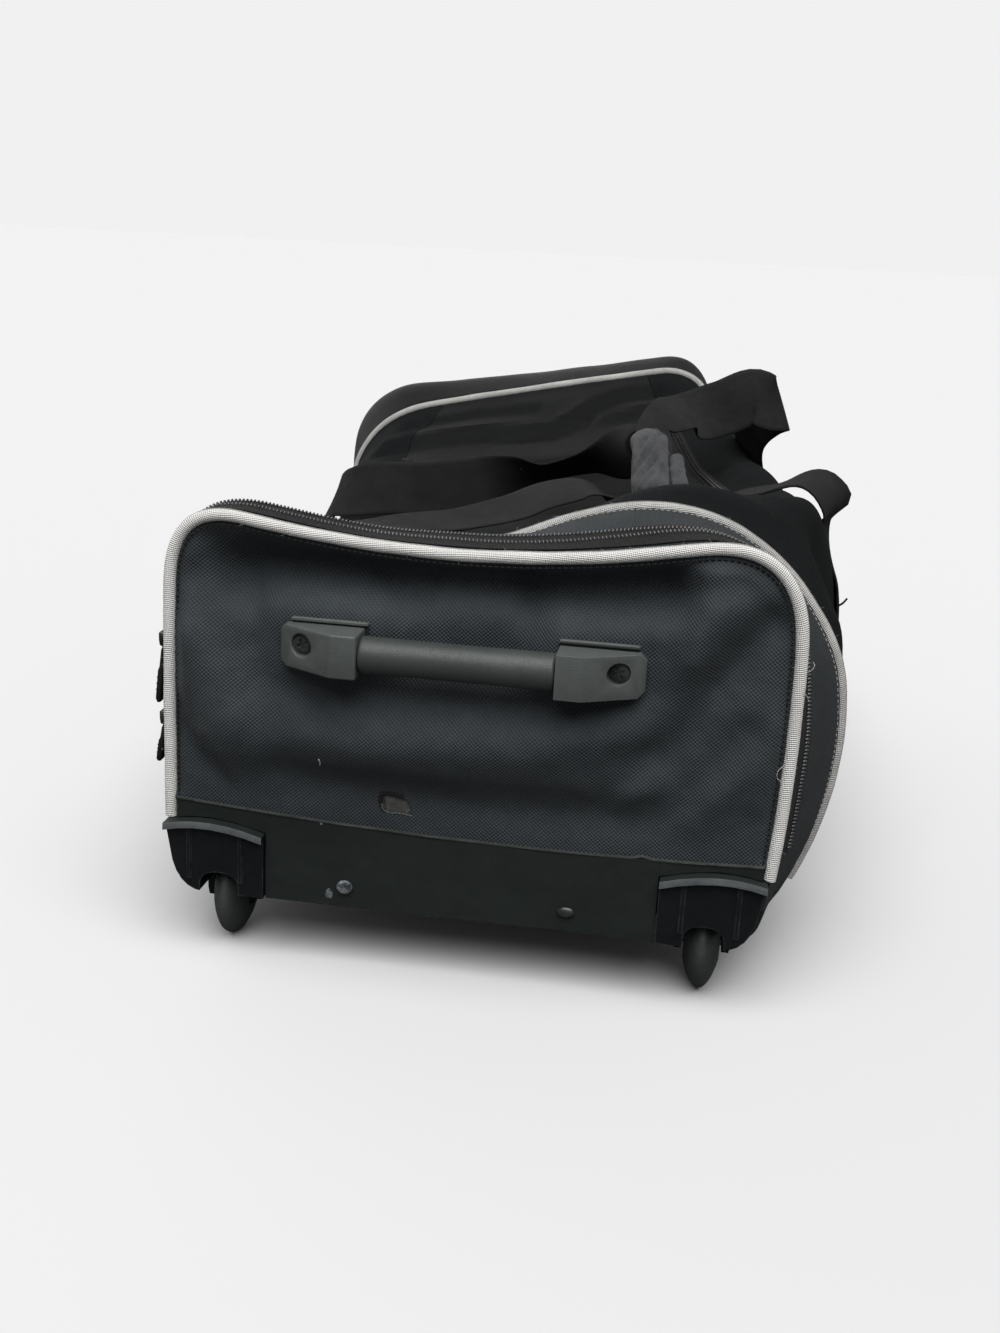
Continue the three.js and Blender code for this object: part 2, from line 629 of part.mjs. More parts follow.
function bracket() {
  const side = new THREE.Shape();
  side.moveTo(gripHalf + seamGap, 0);
  side.lineTo(handleHalf, 0);
  side.lineTo(handleHalf, 4);
  side.lineTo(handleHalf - 2, 6);
  side.lineTo(gripHalf + 18, boxDepth - 1);
  side.lineTo(gripHalf + 16, boxDepth);
  side.lineTo(gripHalf + seamGap, boxDepth);
  const solid = new THREE.ExtrudeGeometry(side, { depth: bracketHeight, bevelEnabled: false });
  solid.translate(0, 0, -bracketHeight / 2);
  const face = new THREE.Shape();
  const edge = bracketHeight / 2;
  face.moveTo(gripHalf - 5, -edge);
  face.lineTo(handleHalf - bracketChamfer, -edge);
  face.lineTo(handleHalf, bracketChamfer - edge);
  face.lineTo(handleHalf, edge - bracketChamfer);
  face.lineTo(handleHalf - bracketChamfer, edge);
  face.lineTo(gripHalf - 5, edge);
  const placed = mirrored(solid);
  placed.rotateZ(Math.PI);
  const recess = rod("y", 6.8, 30, [screwHalf, recessFloor - seatY - 15, screwRise], 14);
  const shaped = cut(keepInside(placed, slab(face, -boxDepth - 5, 5)), recess);
  shaped.translate(0, seatY, handleZ);
  return shaped;
}

const brackets = pair(bracket(), handleX);
add("left_handle_bracket", brackets.left, looks.plastic());
add("right_handle_bracket", brackets.right, looks.plastic());
add("handle_grip", rod("x", gripRadius, 2 * gripHalf, [handleX, gripY, handleZ], 16), looks.plastic());
[["left", -screwHalf], ["right", screwHalf]].forEach(([side, x]) => {
  add(`${side}_bracket_screw`, rod("y", 5.8, 1.6, [handleX + x, screwY, handleZ + screwRise], 12), looks.steel());
});

// Carry handles: webbing sewn up a side, then free over the top and through the wrap

// A row for each place of a free run: the middle of the webbing and the way its width points
const runColumns = ["x", "y", "z", "wx", "wy", "wz"];
const leftRun = table(runColumns, [
  [-110, -156, 234, -0.2, 1, 0],
  [-62, -108, 233, -0.3, 0.95, 0.1],
  [-27, -78, 240, -0.3, 0.93, 0.2],
  [0, -60, 250, -0.3, 0.92, 0.22],
  [27, -52, 255, -0.35, 0.9, 0.15],
  [50, -52, 248, -0.65, 0.75, 0],
  [71, -46, 239, -0.95, 0.3, 0],
]);
const leftReturn = table(runColumns, [
  [68, 108, 281, -0.9, -0.2, -0.3],
  [60, 119, 273, -0.5, -0.25, -0.8],
  [42, 130, 260, 0, 0.3, -0.95],
  [12, 137, 250, 0, 0.85, -0.5],
  [-19, 143, 240, 0.05, 0.9, -0.4],
  [-52, 148, 231, 0.1, 0.5, -0.85],
  [-90, 150, 222, 0.1, 0, -0.98],
  [-138, 150, 213, 0.08, -0.1, -0.98],
  [-187, 152, 209, 0.1, -0.2, -0.96],
  [-216, 160, 203, 0.12, -0.45, -0.85],
  [-234, 174, 196, 0.1, -0.75, -0.6],
  [-247, 190, 176, 0, -0.97, -0.2],
]);
const rightRun = table(runColumns, [
  [211, -150, 258, 0.2, 1, 0],
  [214, -152, 266, 0.4, 0.9, 0],
  [215, -155, 273, 0.45, 0.9, 0],
  [210, -158, 280, 0.45, 0.9, -0.03],
  [202, -162, 285, 0.4, 0.9, -0.04],
  [185, -166, 287, 0.25, 1, -0.05],
  [162, -168, 281, 0.1, 1, -0.03],
  [140, -156, 274, 0.25, 0.9, 0],
  [120, -128, 264, 0.45, 0.8, 0],
  [107, -92, 259, 0.7, 0.6, 0],
  [98, -58, 254, 0.9, 0.3, 0],
]);
const rightReturn = table(runColumns, [
  [90, 117, 304, 0.9, 0.1, -0.35],
  [102, 132, 300, 0.3, 0.05, -0.95],
  [130, 142, 304, 0.1, -0.1, -0.97],
  [160, 150, 320, 0.1, -0.2, -0.97],
  [178, 162, 317, 0.35, -0.2, -0.9],
  [190, 184, 302, 0.35, -0.55, -0.75],
  [190, 208, 280, 0.1, -0.95, -0.3],
]);
const wrapNear = new THREE.Vector3(84, -12, 244);
const wrapFar = new THREE.Vector3(73, 90, 285);
const wrapAcross = new THREE.Vector3(1, 0.1, 0);
const wrapShare = 0.6; // of the webbing's width that is left where the wrap folds it

function sewnRun(y, columns, way) {
  const lift = 3.4 * seamGap + webbingThickness / 2;
  const half = (way * webbingWidth) / 2;
  return columns.map((column) => {
    const [a, b] = [skin(y - half, column, lift), skin(y + half, column, lift)];
    return { middle: a.clone().add(b).multiplyScalar(0.5), width: b.sub(a).normalize() };
  });
}

function freeRun(rows) {
  return rows.map((row) => ({
    middle: new THREE.Vector3(row.x, row.y, row.z),
    width: new THREE.Vector3(row.wx, row.wy, row.wz).normalize(),
  }));
}

function wrappedRun(offset, way) {
  return [-0.1, 0.15, 0.5, 0.85, 1.1].map((share) => ({
    middle: wrapNear.clone().lerp(wrapFar, share).add(new THREE.Vector3(0, 0, offset)),
    width: wrapAcross.clone().setLength(wrapShare).multiplyScalar(way),
  }));
}

function webbing(places) {
  const middles = new THREE.CatmullRomCurve3(places.map((p) => p.middle), false, "centripetal");
  const widths = new THREE.CatmullRomCurve3(places.map((p) => p.width), false, "centripetal");
  const last = places.length - 1;
  const grid = span(0, webbingSteps).map((k) => {
    const t = k / webbingSteps;
    const before = Math.min(last - 1, Math.floor(t * last));
    const [wide, wideNext] = [places[before].width.length(), places[before + 1].width.length()];
    const share = THREE.MathUtils.lerp(wide, wideNext, t * last - before);
    const [back, ahead] = [Math.max(0, t - 0.2 / last), Math.min(1, t + 0.2 / last)];
    const along = middles.getPoint(ahead).sub(middles.getPoint(back)).normalize();
    const across = widths.getPoint(t);
    across.addScaledVector(along, -across.dot(along)).setLength((share * webbingWidth) / 2);
    return { middle: middles.getPoint(t), across, normal: across.clone().cross(along).normalize() };
  });
  const surface = (k, side, lift) => grid[k].middle.clone()
    .addScaledVector(grid[k].across, side)
    .addScaledVector(grid[k].normal, lift);
  return sheet(span(0, webbingSteps), [-1, 1], surface, -webbingThickness / 2, webbingThickness / 2);
}

const leftWall = span(place.left + 2, place.left + 5);
const rightWall = span(place.right + 2, place.right + 5).reverse();
const leftHandle = [
  ...sewnRun(-172, [...leftWall, ...span(place.topBend, place.topBend + 3)], 1),
  ...freeRun(leftRun),
  ...wrappedRun(-2.7, -1),
  ...freeRun(leftReturn),
  ...sewnRun(195, [...leftWall].reverse(), -1),
];
const rightHandle = [
  ...sewnRun(-150, rightWall, 1),
  ...freeRun(rightRun),
  ...wrappedRun(2.7, 1),
  ...freeRun(rightReturn),
  ...sewnRun(226, [...rightWall].reverse(), -1),
];
add("left_carry_handle", webbing(leftHandle), looks.webbing());
add("right_carry_handle", webbing(rightHandle), looks.webbing());

// The padded wrap is a flat sleeve round both handles
function wrapSleeve() {
  const along = wrapFar.clone().sub(wrapNear).normalize();
  const across = wrapAcross.clone().addScaledVector(along, -wrapAcross.dot(along)).normalize();
  const up = across.clone().cross(along).normalize();
  const ovalWidth = (wrapShare * webbingWidth) / 2 + 3.6;
  const ovalHeight = 5.8;
  const rows = [0, 0.1, 0.5, 0.9, 1];
  const columns = span(0, 15);
  const flatten = (value) => Math.sign(value) * Math.abs(value) ** 0.55;
  const surface = (row, column, lift) => {
    const turn = (-2 * Math.PI * column) / 16;
    const plump = lift * (0.7 + 0.3 * Math.sin(Math.PI * row));
    return wrapNear.clone().lerp(wrapFar, row)
      .addScaledVector(across, flatten(Math.cos(turn)) * (ovalWidth + plump))
      .addScaledVector(up, flatten(Math.sin(turn)) * (ovalHeight + plump));
  };
  return sheet(rows, columns, surface, 0, 5, undefined, true);
}

add("handle_wrap", wrapSleeve(), looks.padding());

export default group;
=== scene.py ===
import math
from functools import lru_cache

import bmesh
import bpy
import numpy as np
from mathutils import Matrix, Vector, noise


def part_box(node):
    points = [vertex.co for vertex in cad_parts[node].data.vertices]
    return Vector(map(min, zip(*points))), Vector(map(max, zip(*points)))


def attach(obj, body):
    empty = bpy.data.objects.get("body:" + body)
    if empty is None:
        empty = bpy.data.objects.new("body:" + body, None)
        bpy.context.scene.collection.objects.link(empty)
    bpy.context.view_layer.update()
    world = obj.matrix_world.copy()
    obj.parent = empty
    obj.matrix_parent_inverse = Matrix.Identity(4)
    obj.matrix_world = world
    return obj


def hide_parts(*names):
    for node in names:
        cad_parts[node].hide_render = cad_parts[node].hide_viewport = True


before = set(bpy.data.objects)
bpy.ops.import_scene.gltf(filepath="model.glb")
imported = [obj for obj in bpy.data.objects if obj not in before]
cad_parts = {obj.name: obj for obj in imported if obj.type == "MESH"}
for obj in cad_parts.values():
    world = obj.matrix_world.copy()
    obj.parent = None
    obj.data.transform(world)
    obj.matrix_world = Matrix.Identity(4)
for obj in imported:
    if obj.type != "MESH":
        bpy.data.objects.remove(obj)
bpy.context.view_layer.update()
rng = np.random.default_rng(11)
scene = bpy.context.scene

# everything below is drawn in mm about the middle of the bag, with the wheeled end at -y
bag = {
    "wheelMiddle": -3.0, "wheelSpread": 150.0, "wheelY": -370.0, "wheelRadius": 31.0,
    "endSeam": 400.0, "innerSeam": 330.0, "cloth": 1.8, "baseRounding": 18.0,
}
sides = ("left", "right")
wheelCorners = np.array([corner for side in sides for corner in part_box(side + "_wheel")])
origin = wheelCorners.mean(axis=0) * 1000 - (bag["wheelMiddle"], bag["wheelY"], bag["wheelRadius"])


def toFrame(points):
    return (np.asarray(points, float) + origin) / 1000


def boxMm(node):  # the two corners of a CAD node
    return [np.array(corner) * 1000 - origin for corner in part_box(node)]


def boxMiddle(node):
    low, high = boxMm(node)
    return (low + high) / 2


# camera first, where the photograph was taken from
view = {"place": (129, -1207, 436), "yaw": 8, "pitch": 16, "roll": 3, "focalPixels": 1455, "longSide": 1333}


def addCamera():
    yaw, pitch, roll = (math.radians(view[k]) for k in ("yaw", "pitch", "roll"))
    level = Vector((-math.sin(yaw), math.cos(yaw), 0))
    side = Vector((math.cos(yaw), math.sin(yaw), 0))
    ahead = level * math.cos(pitch) - Vector((0, 0, math.sin(pitch)))
    up = level * math.sin(pitch) + Vector((0, 0, math.cos(pitch)))
    right = side * math.cos(roll) + up * math.sin(roll)
    above = up * math.cos(roll) - side * math.sin(roll)
    data = bpy.data.cameras.new("photoCamera")
    data.sensor_width = 36
    data.lens = view["focalPixels"] * data.sensor_width / view["longSide"]
    camera = bpy.data.objects.new("photoCamera", data)
    turn = Matrix((right, above, -ahead)).transposed().to_4x4()
    camera.matrix_world = Matrix.Translation(Vector(toFrame(view["place"]))) @ turn
    scene.collection.objects.link(camera)
    scene.camera = camera


addCamera()
print("camera placed")


# meshes from arrays

def newMesh(name, points, faces, uv=None, sharp=45):
    mesh = bpy.data.meshes.new(name)
    mesh.from_pydata(toFrame(points).tolist(), [], faces)
    if uv is not None:
        loops = np.empty(len(mesh.loops), np.int32)
        mesh.loops.foreach_get("vertex_index", loops)
        layer = mesh.uv_layers.new(name="threads")  # in mm along the cloth
        layer.data.foreach_set("uv", np.asarray(uv, np.float32)[loops].ravel())
    tidy = bmesh.new()
    tidy.from_mesh(mesh)
    bmesh.ops.delete(tidy, geom=[v for v in tidy.verts if not v.link_faces], context="VERTS")
    bmesh.ops.recalc_face_normals(tidy, faces=tidy.faces)
    tidy.to_mesh(mesh)
    tidy.free()
    mesh.shade_smooth()
    mesh.set_sharp_from_angle(angle=math.radians(sharp))
    return mesh


def addPiece(name, mesh, finish, node=None, body="bag"):
    piece = bpy.data.objects.new(name, mesh)
    scene.collection.objects.link(piece)
    mesh.materials.clear()
    mesh.materials.append(finishes[finish])
    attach(piece, body)
    if node:
        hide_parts(node)
    return piece


def arrayPiece(name, arrays, finish, node=None, body="bag", sharp=45):
    return addPiece(name, newMesh(name, *arrays, sharp), finish, node, body)


def refinish(node, finish):  # a CAD node that shows as it is
    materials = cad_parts[node].data.materials
    materials.clear()
    materials.append(finishes[finish])


def sheetFaces(rows, cols, keep=None):  # two layers and a rim round what is kept
    keep = np.ones((rows - 1, cols - 1), bool) if keep is None else keep
    around = np.pad(keep, 1)
    i, j = np.nonzero(keep)
    a, b, c, d = i * cols + j, i * cols + j + 1, (i + 1) * cols + j + 1, (i + 1) * cols + j
    under = rows * cols
    faces = [np.stack((a, b, c, d), 1), np.stack((d, c, b, a), 1) + under]
    for di, dj, p, q in ((-1, 0, b, a), (1, 0, d, c), (0, -1, a, d), (0, 1, c, b)):
        bare = ~around[i + 1 + di, j + 1 + dj]
        faces.append(np.stack((p, q, q + under, p + under), 1)[bare])
    return np.concatenate(faces).tolist()


def sheetArrays(places, normals, uv, inner, outer, keep=None):
    points = np.concatenate([(places + normals * lift).reshape(-1, 3) for lift in (outer, inner)])
    return points, sheetFaces(*places.shape[:2], keep), np.concatenate([uv.reshape(-1, 2)] * 2)


def loftArrays(sections, capped=True):  # closed rings in a row
    count, around = sections.shape[:2]
    i, j = np.meshgrid(np.arange(count - 1), np.arange(around), indexing="ij")
    i, j, k = i.ravel(), j.ravel(), (j.ravel() + 1) % around
    faces = np.stack((i * around + j, i * around + k, (i + 1) * around + k, (i + 1) * around + j), 1).tolist()
    if capped:
        faces += [list(range(around)), list(range((count - 1) * around, count * around))]
    along = np.linalg.norm(np.diff(sections.mean(axis=1), axis=0), axis=1)
    alongMm = np.concatenate(([0], np.cumsum(along)))
    ring = np.linalg.norm(np.diff(sections[count // 2], axis=0, append=sections[count // 2, :1]), axis=1)
    ringMm = np.concatenate(([0], np.cumsum(ring)[:-1]))
    uv = np.stack(np.meshgrid(ringMm, alongMm), axis=-1).reshape(-1, 2)
    return sections.reshape(-1, 3), faces, uv


def joinArrays(parts):  # several (points, faces, uv) as one
    points, faces, uvs, start = [], [], [], 0
    for partPoints, partFaces, partUv in parts:
        points.append(np.asarray(partPoints))
        faces += [[start + v for v in face] for face in partFaces]
        uvs.append(np.asarray(partUv))
        start += len(partPoints)
    return np.concatenate(points), faces, np.concatenate(uvs)


def unit(vectors):
    return vectors / np.maximum(np.linalg.norm(vectors, axis=-1, keepdims=True), 1e-9)


def latheArrays(profile, center, axis, segments):  # profile rows: distance along the axis, radius
    axis = np.array(axis, float)
    side = unit(np.cross(axis, (0, 0, 1.0)))
    other = np.cross(axis, side)
    turn = np.linspace(0, 2 * math.pi, segments, endpoint=False)
    spokes = np.cos(turn)[:, None] * side + np.sin(turn)[:, None] * other
    return loftArrays(np.array([np.array(center) + axis * along + spokes * max(radius, 0.01)
                                for along, radius in profile]))


def reachAlong(path):
    return np.concatenate(([0], np.cumsum(np.linalg.norm(np.diff(path, axis=0), axis=1))))


def evenly(count, path, *others):  # even steps along a path, with other columns carried along
    reach = reachAlong(path)
    spots = np.linspace(0, reach[-1], count)
    return [np.stack([np.interp(spots, reach, col) for col in rows.T], axis=1) for rows in (path, *others)]


def resample(path, step, *others):
    return evenly(max(2, int(round(reachAlong(path)[-1] / step)) + 1), path, *others)


def strewArrays(template, places, along, side, up):  # one small shape set many times
    points, faces = template
    spots = (places[:, None] + points[None, :, :1] * along[:, None] + points[None, :, 1:2] * side[:, None]
             + points[None, :, 2:] * up[:, None])
    starts = np.arange(len(places))[:, None, None] * len(points)
    allFaces = (np.asarray(faces)[None] + starts).reshape(-1, len(faces[0]))
    return spots.reshape(-1, 3), allFaces.tolist(), np.zeros((len(places) * len(points), 2))


def bead(length, width, height, around, rings):  # a stretched ball, for teeth and stitches
    turn = np.linspace(0, 2 * math.pi, around, endpoint=False)
    tilt = np.linspace(0.12, math.pi - 0.12, rings)
    points = np.array([(math.cos(t) * length / 2, math.sin(t) * math.cos(a) * width / 2,
                        math.sin(t) * math.sin(a) * height / 2) for t in tilt for a in turn])
    starts = [(i * around, j, (j + 1) % around) for i in range(rings - 1) for j in range(around)]
    faces = [[row + j, row + k, row + around + k, row + around + j] for row, j, k in starts]
    for base in (0, (rings - 1) * around):
        last = base + around - 1
        faces += [[base + k, base + k + 1, last - 1 - k, last - k] for k in range(around // 2 - 1)]
    return points, faces


def smooth(value, low, high):
    t = np.clip((np.asarray(value, float) - low) / (high - low), 0, 1)
    return t * t * (3 - 2 * t)


def crumple(points, size, amount, stretch=(1, 1, 1), seed=0.0):
    spots = points.reshape(-1, 3) / size * np.array(stretch) + seed
    return amount * np.array([noise.noise(Vector(p)) for p in spots]).reshape(points.shape[:-1])


# shader helpers and the effects that several finishes share

def link(tree, value, socket):
    if isinstance(value, bpy.types.NodeSocket):
        tree.links.new(value, socket)
    elif value is not None:
        socket.default_value = value


def calc(tree, operation, *values):
    node = tree.nodes.new("ShaderNodeMath")
    node.operation = operation
    for value, socket in zip(values, node.inputs):
        link(tree, value, socket)
    return node.outputs[0]


def spread(tree, value, low, high, toLow=0.0, toHigh=1.0):
    node = tree.nodes.new("ShaderNodeMapRange")
    for item, socket in zip((value, low, high, toLow, toHigh), node.inputs):
        link(tree, item, socket)
    return node.outputs[0]


def blendColour(tree, share, a, b):
    node = tree.nodes.new("ShaderNodeMix")
    node.data_type = "RGBA"
    for value, socket in ((share, "Factor"), (a, "A"), (b, "B")):
        link(tree, value, node.inputs[socket])
    return node.outputs["Result"]


def position(tree):
    return tree.nodes.new("ShaderNodeNewGeometry").outputs["Position"]


def cloud(tree, scale, detail, rough):
    node = tree.nodes.new("ShaderNodeTexNoise")
    values = {"Vector": position(tree), "Scale": scale, "Detail": detail, "Roughness": rough}
    for socket, value in values.items():
        link(tree, value, node.inputs[socket])
    return node.outputs["Fac"]


def bump(tree, height, distance, normal=None):
    node = tree.nodes.new("ShaderNodeBump")
    for value, socket in ((height, "Height"), (distance, "Distance"), (normal, "Normal")):
        link(tree, value, node.inputs[socket])
    return node.outputs["Normal"]


def startGroup(name, inputs, outputs):
    tree = bpy.data.node_groups.new(name, "ShaderNodeTree")
    for label, kind, value in inputs:
        socket = tree.interface.new_socket(label, in_out="INPUT", socket_type="NodeSocket" + kind)
        if value is not None:
            socket.default_value = value
    for label, kind in outputs:
        tree.interface.new_socket(label, in_out="OUTPUT", socket_type="NodeSocket" + kind)
    return tree, tree.nodes.new("NodeGroupInput").outputs, tree.nodes.new("NodeGroupOutput").inputs


def weaveGroup():  # rows of crossing threads as small bumps, with a mask of their low spots for painted shade
    tree, given, put = startGroup(
        "weave", [("Threads", "Vector", None), ("Across", "Float", 1.0), ("Along", "Float", 1.0),
                  ("Lean", "Float", 0.0)], [("Height", "Float"), ("GapShade", "Float")])
    split = tree.nodes.new("ShaderNodeSeparateXYZ")
    tree.links.new(given["Threads"], split.inputs[0])
    u = calc(tree, "DIVIDE", split.outputs[0], given["Across"])
    v = calc(tree, "DIVIDE", split.outputs[1], given["Along"])
    a = calc(tree, "MULTIPLY_ADD", v, given["Lean"], u)
    b = calc(tree, "SUBTRACT", v, calc(tree, "MULTIPLY", u, given["Lean"]))
    waves = [calc(tree, "SINE", calc(tree, "MULTIPLY", t, 2 * math.pi)) for t in (a, b)]
    height = calc(tree, "MULTIPLY_ADD", calc(tree, "MULTIPLY", *waves), 0.5, 0.5)
    link(tree, height, put["Height"])
    link(tree, spread(tree, height, 0.35, 0.05), put["GapShade"])
    return tree


def fadeGroup():  # cloudy change between a fresh and a worn colour
    tree, given, put = startGroup(
        "fade", [("Fresh", "Color", None), ("Worn", "Color", None), ("Scale", "Float", 12.0),
                 ("Amount", "Float", 0.5)], [("Colour", "Color"), ("Mask", "Float")])
    broad = cloud(tree, given["Scale"], 4.0, 0.6)
    fine = cloud(tree, calc(tree, "MULTIPLY", given["Scale"], 9.0), 3.0, 0.6)
    mask = calc(tree, "MULTIPLY_ADD", fine, 0.35, calc(tree, "MULTIPLY", broad, 0.75))
    mask = calc(tree, "MULTIPLY", spread(tree, mask, 0.42, 0.72), given["Amount"])
    link(tree, mask, put["Mask"])
    link(tree, blendColour(tree, mask, given["Fresh"], given["Worn"]), put["Colour"])
    return tree


def lintGroup():  # scattered pale specks
    tree, given, put = startGroup(
        "lint", [("Spacing", "Float", 160.0), ("Share", "Float", 0.06), ("Size", "Float", 0.16)],
        [("Mask", "Float")])
    cells = tree.nodes.new("ShaderNodeTexVoronoi")
    link(tree, position(tree), cells.inputs["Vector"])
    link(tree, given["Spacing"], cells.inputs["Scale"])
    split = tree.nodes.new("ShaderNodeSeparateColor")
    tree.links.new(cells.outputs["Color"], split.inputs[0])
    chosen = calc(tree, "LESS_THAN", split.outputs[0], given["Share"])
    size = calc(tree, "MULTIPLY", given["Size"], split.outputs[1])
    near = calc(tree, "LESS_THAN", cells.outputs["Distance"], size)
    link(tree, calc(tree, "MULTIPLY", chosen, near), put["Mask"])
    return tree


def wearGroup():  # rubbed edges of hard pieces
    tree, given, put = startGroup(
        "edgeWear", [("Reach", "Float", 0.002), ("Amount", "Float", 0.6)], [("Mask", "Float")])
    geometry = tree.nodes.new("ShaderNodeNewGeometry")
    bevel = tree.nodes.new("ShaderNodeBevel")
    bevel.samples = 6
    link(tree, given["Reach"], bevel.inputs["Radius"])
    dot = tree.nodes.new("ShaderNodeVectorMath")
    dot.operation = "DOT_PRODUCT"
    tree.links.new(bevel.outputs[0], dot.inputs[0])
    tree.links.new(geometry.outputs["Normal"], dot.inputs[1])
    edge = spread(tree, dot.outputs["Value"], 0.995, 0.86)
    patches = spread(tree, cloud(tree, 90.0, 4.0, 0.65), 0.35, 0.65)
    link(tree, calc(tree, "MULTIPLY", calc(tree, "MULTIPLY", edge, patches), given["Amount"]), put["Mask"])
    return tree


def creaseGroup():  # soft creases under the weave
    tree, given, put = startGroup(
        "creases", [("Scale", "Float", 26.0), ("Depth", "Float", 0.003)], [("Normal", "Vector")])
    link(tree, bump(tree, cloud(tree, given["Scale"], 4.0, 0.5), given["Depth"]), put["Normal"])
    return tree


def grainGroup():  # fine grain of moulded and metal pieces
    tree, given, put = startGroup(
        "grain", [("Scale", "Float", 900.0), ("Depth", "Float", 0.00015), ("Rough", "Float", 0.5)],
        [("Roughness", "Float"), ("Normal", "Vector")])
    grain = cloud(tree, given["Scale"], 3.0, 0.6)
    low, high = (calc(tree, "ADD", given["Rough"], change) for change in (-0.07, 0.09))
    link(tree, spread(tree, grain, 0.3, 0.7, low, high), put["Roughness"])
    link(tree, bump(tree, grain, given["Depth"]), put["Normal"])
    return tree


groups = {"weave": weaveGroup(), "fade": fadeGroup(), "lint": lintGroup(), "wear": wearGroup(),
          "creases": creaseGroup(), "grain": grainGroup()}


def useGroup(tree, kind, **values):
    node = tree.nodes.new("ShaderNodeGroup")
    node.node_tree = groups[kind]
    for label, value in values.items():
        link(tree, value, node.inputs[label])
    return node.outputs


def startFinish(name):
    material = bpy.data.materials.new(name)
    material.use_nodes = True
    tree = material.node_tree
    return material, tree, tree.nodes["Principled BSDF"].inputs


def rgb(*seen):  # a colour as it is seen, 0 to 255
    return tuple(((c / 255 + 0.055) / 1.055) ** 2.4 if c > 10 else c / 255 / 12.92 for c in seen) + (1,)


def clothFinish(name, look):
    material, tree, shader = startFinish(name)
    threads = tree.nodes.new("ShaderNodeUVMap").outputs["UV"]
    weave = useGroup(tree, "weave", Threads=threads, Across=look["across"], Along=look["along"],
                     Lean=look["lean"])
    fade = useGroup(tree, "fade", Fresh=look["fresh"], Worn=look["worn"], Scale=look["patch"],
                    Amount=look["wear"])
    # the low spots of the weave take the gap colour: painted shade between the threads
    shade = calc(tree, "MULTIPLY", weave["GapShade"], look["gapShadeAmount"])
    colour = blendColour(tree, shade, fade["Colour"], look["gap"])
    lint = useGroup(tree, "lint", Spacing=look["lintSpacing"], Share=look["lint"], Size=look["lintSize"])
    link(tree, blendColour(tree, lint["Mask"], colour, look["lintColour"]), shader["Base Color"])
    rubbed = look["rough"] - look["polish"]
    link(tree, spread(tree, fade["Mask"], 0.0, 1.0, look["rough"], rubbed), shader["Roughness"])
    creases = useGroup(tree, "creases", Scale=look["creaseScale"], Depth=look["crease"])
    link(tree, bump(tree, weave["Height"], look["relief"], creases["Normal"]), shader["Normal"])
    shader["Sheen Weight"].default_value = look["sheen"]
    shader["Sheen Roughness"].default_value = look["sheenRough"]
    shader["Specular IOR Level"].default_value = look["shine"]
    return material


# the gap colour is painted shade in the low spots of the weave; the number beside it sets how strong that
# shade is
clothLook = {
    "fresh": rgb(47, 52, 55), "worn": rgb(65, 70, 73), "gap": rgb(11, 13, 14), "gapShadeAmount": 0.66,
    "across": 2.6, "along": 2.3, "lean": 0.0, "relief": 0.0005, "rough": 0.8, "polish": 0.08, "patch": 9.0,
    "wear": 0.6, "creaseScale": 26.0, "crease": 0.003, "sheen": 0.04, "sheenRough": 0.45, "shine": 0.25,
    "lint": 0.03, "lintSpacing": 130.0, "lintSize": 0.12, "lintColour": rgb(120, 122, 122),
}
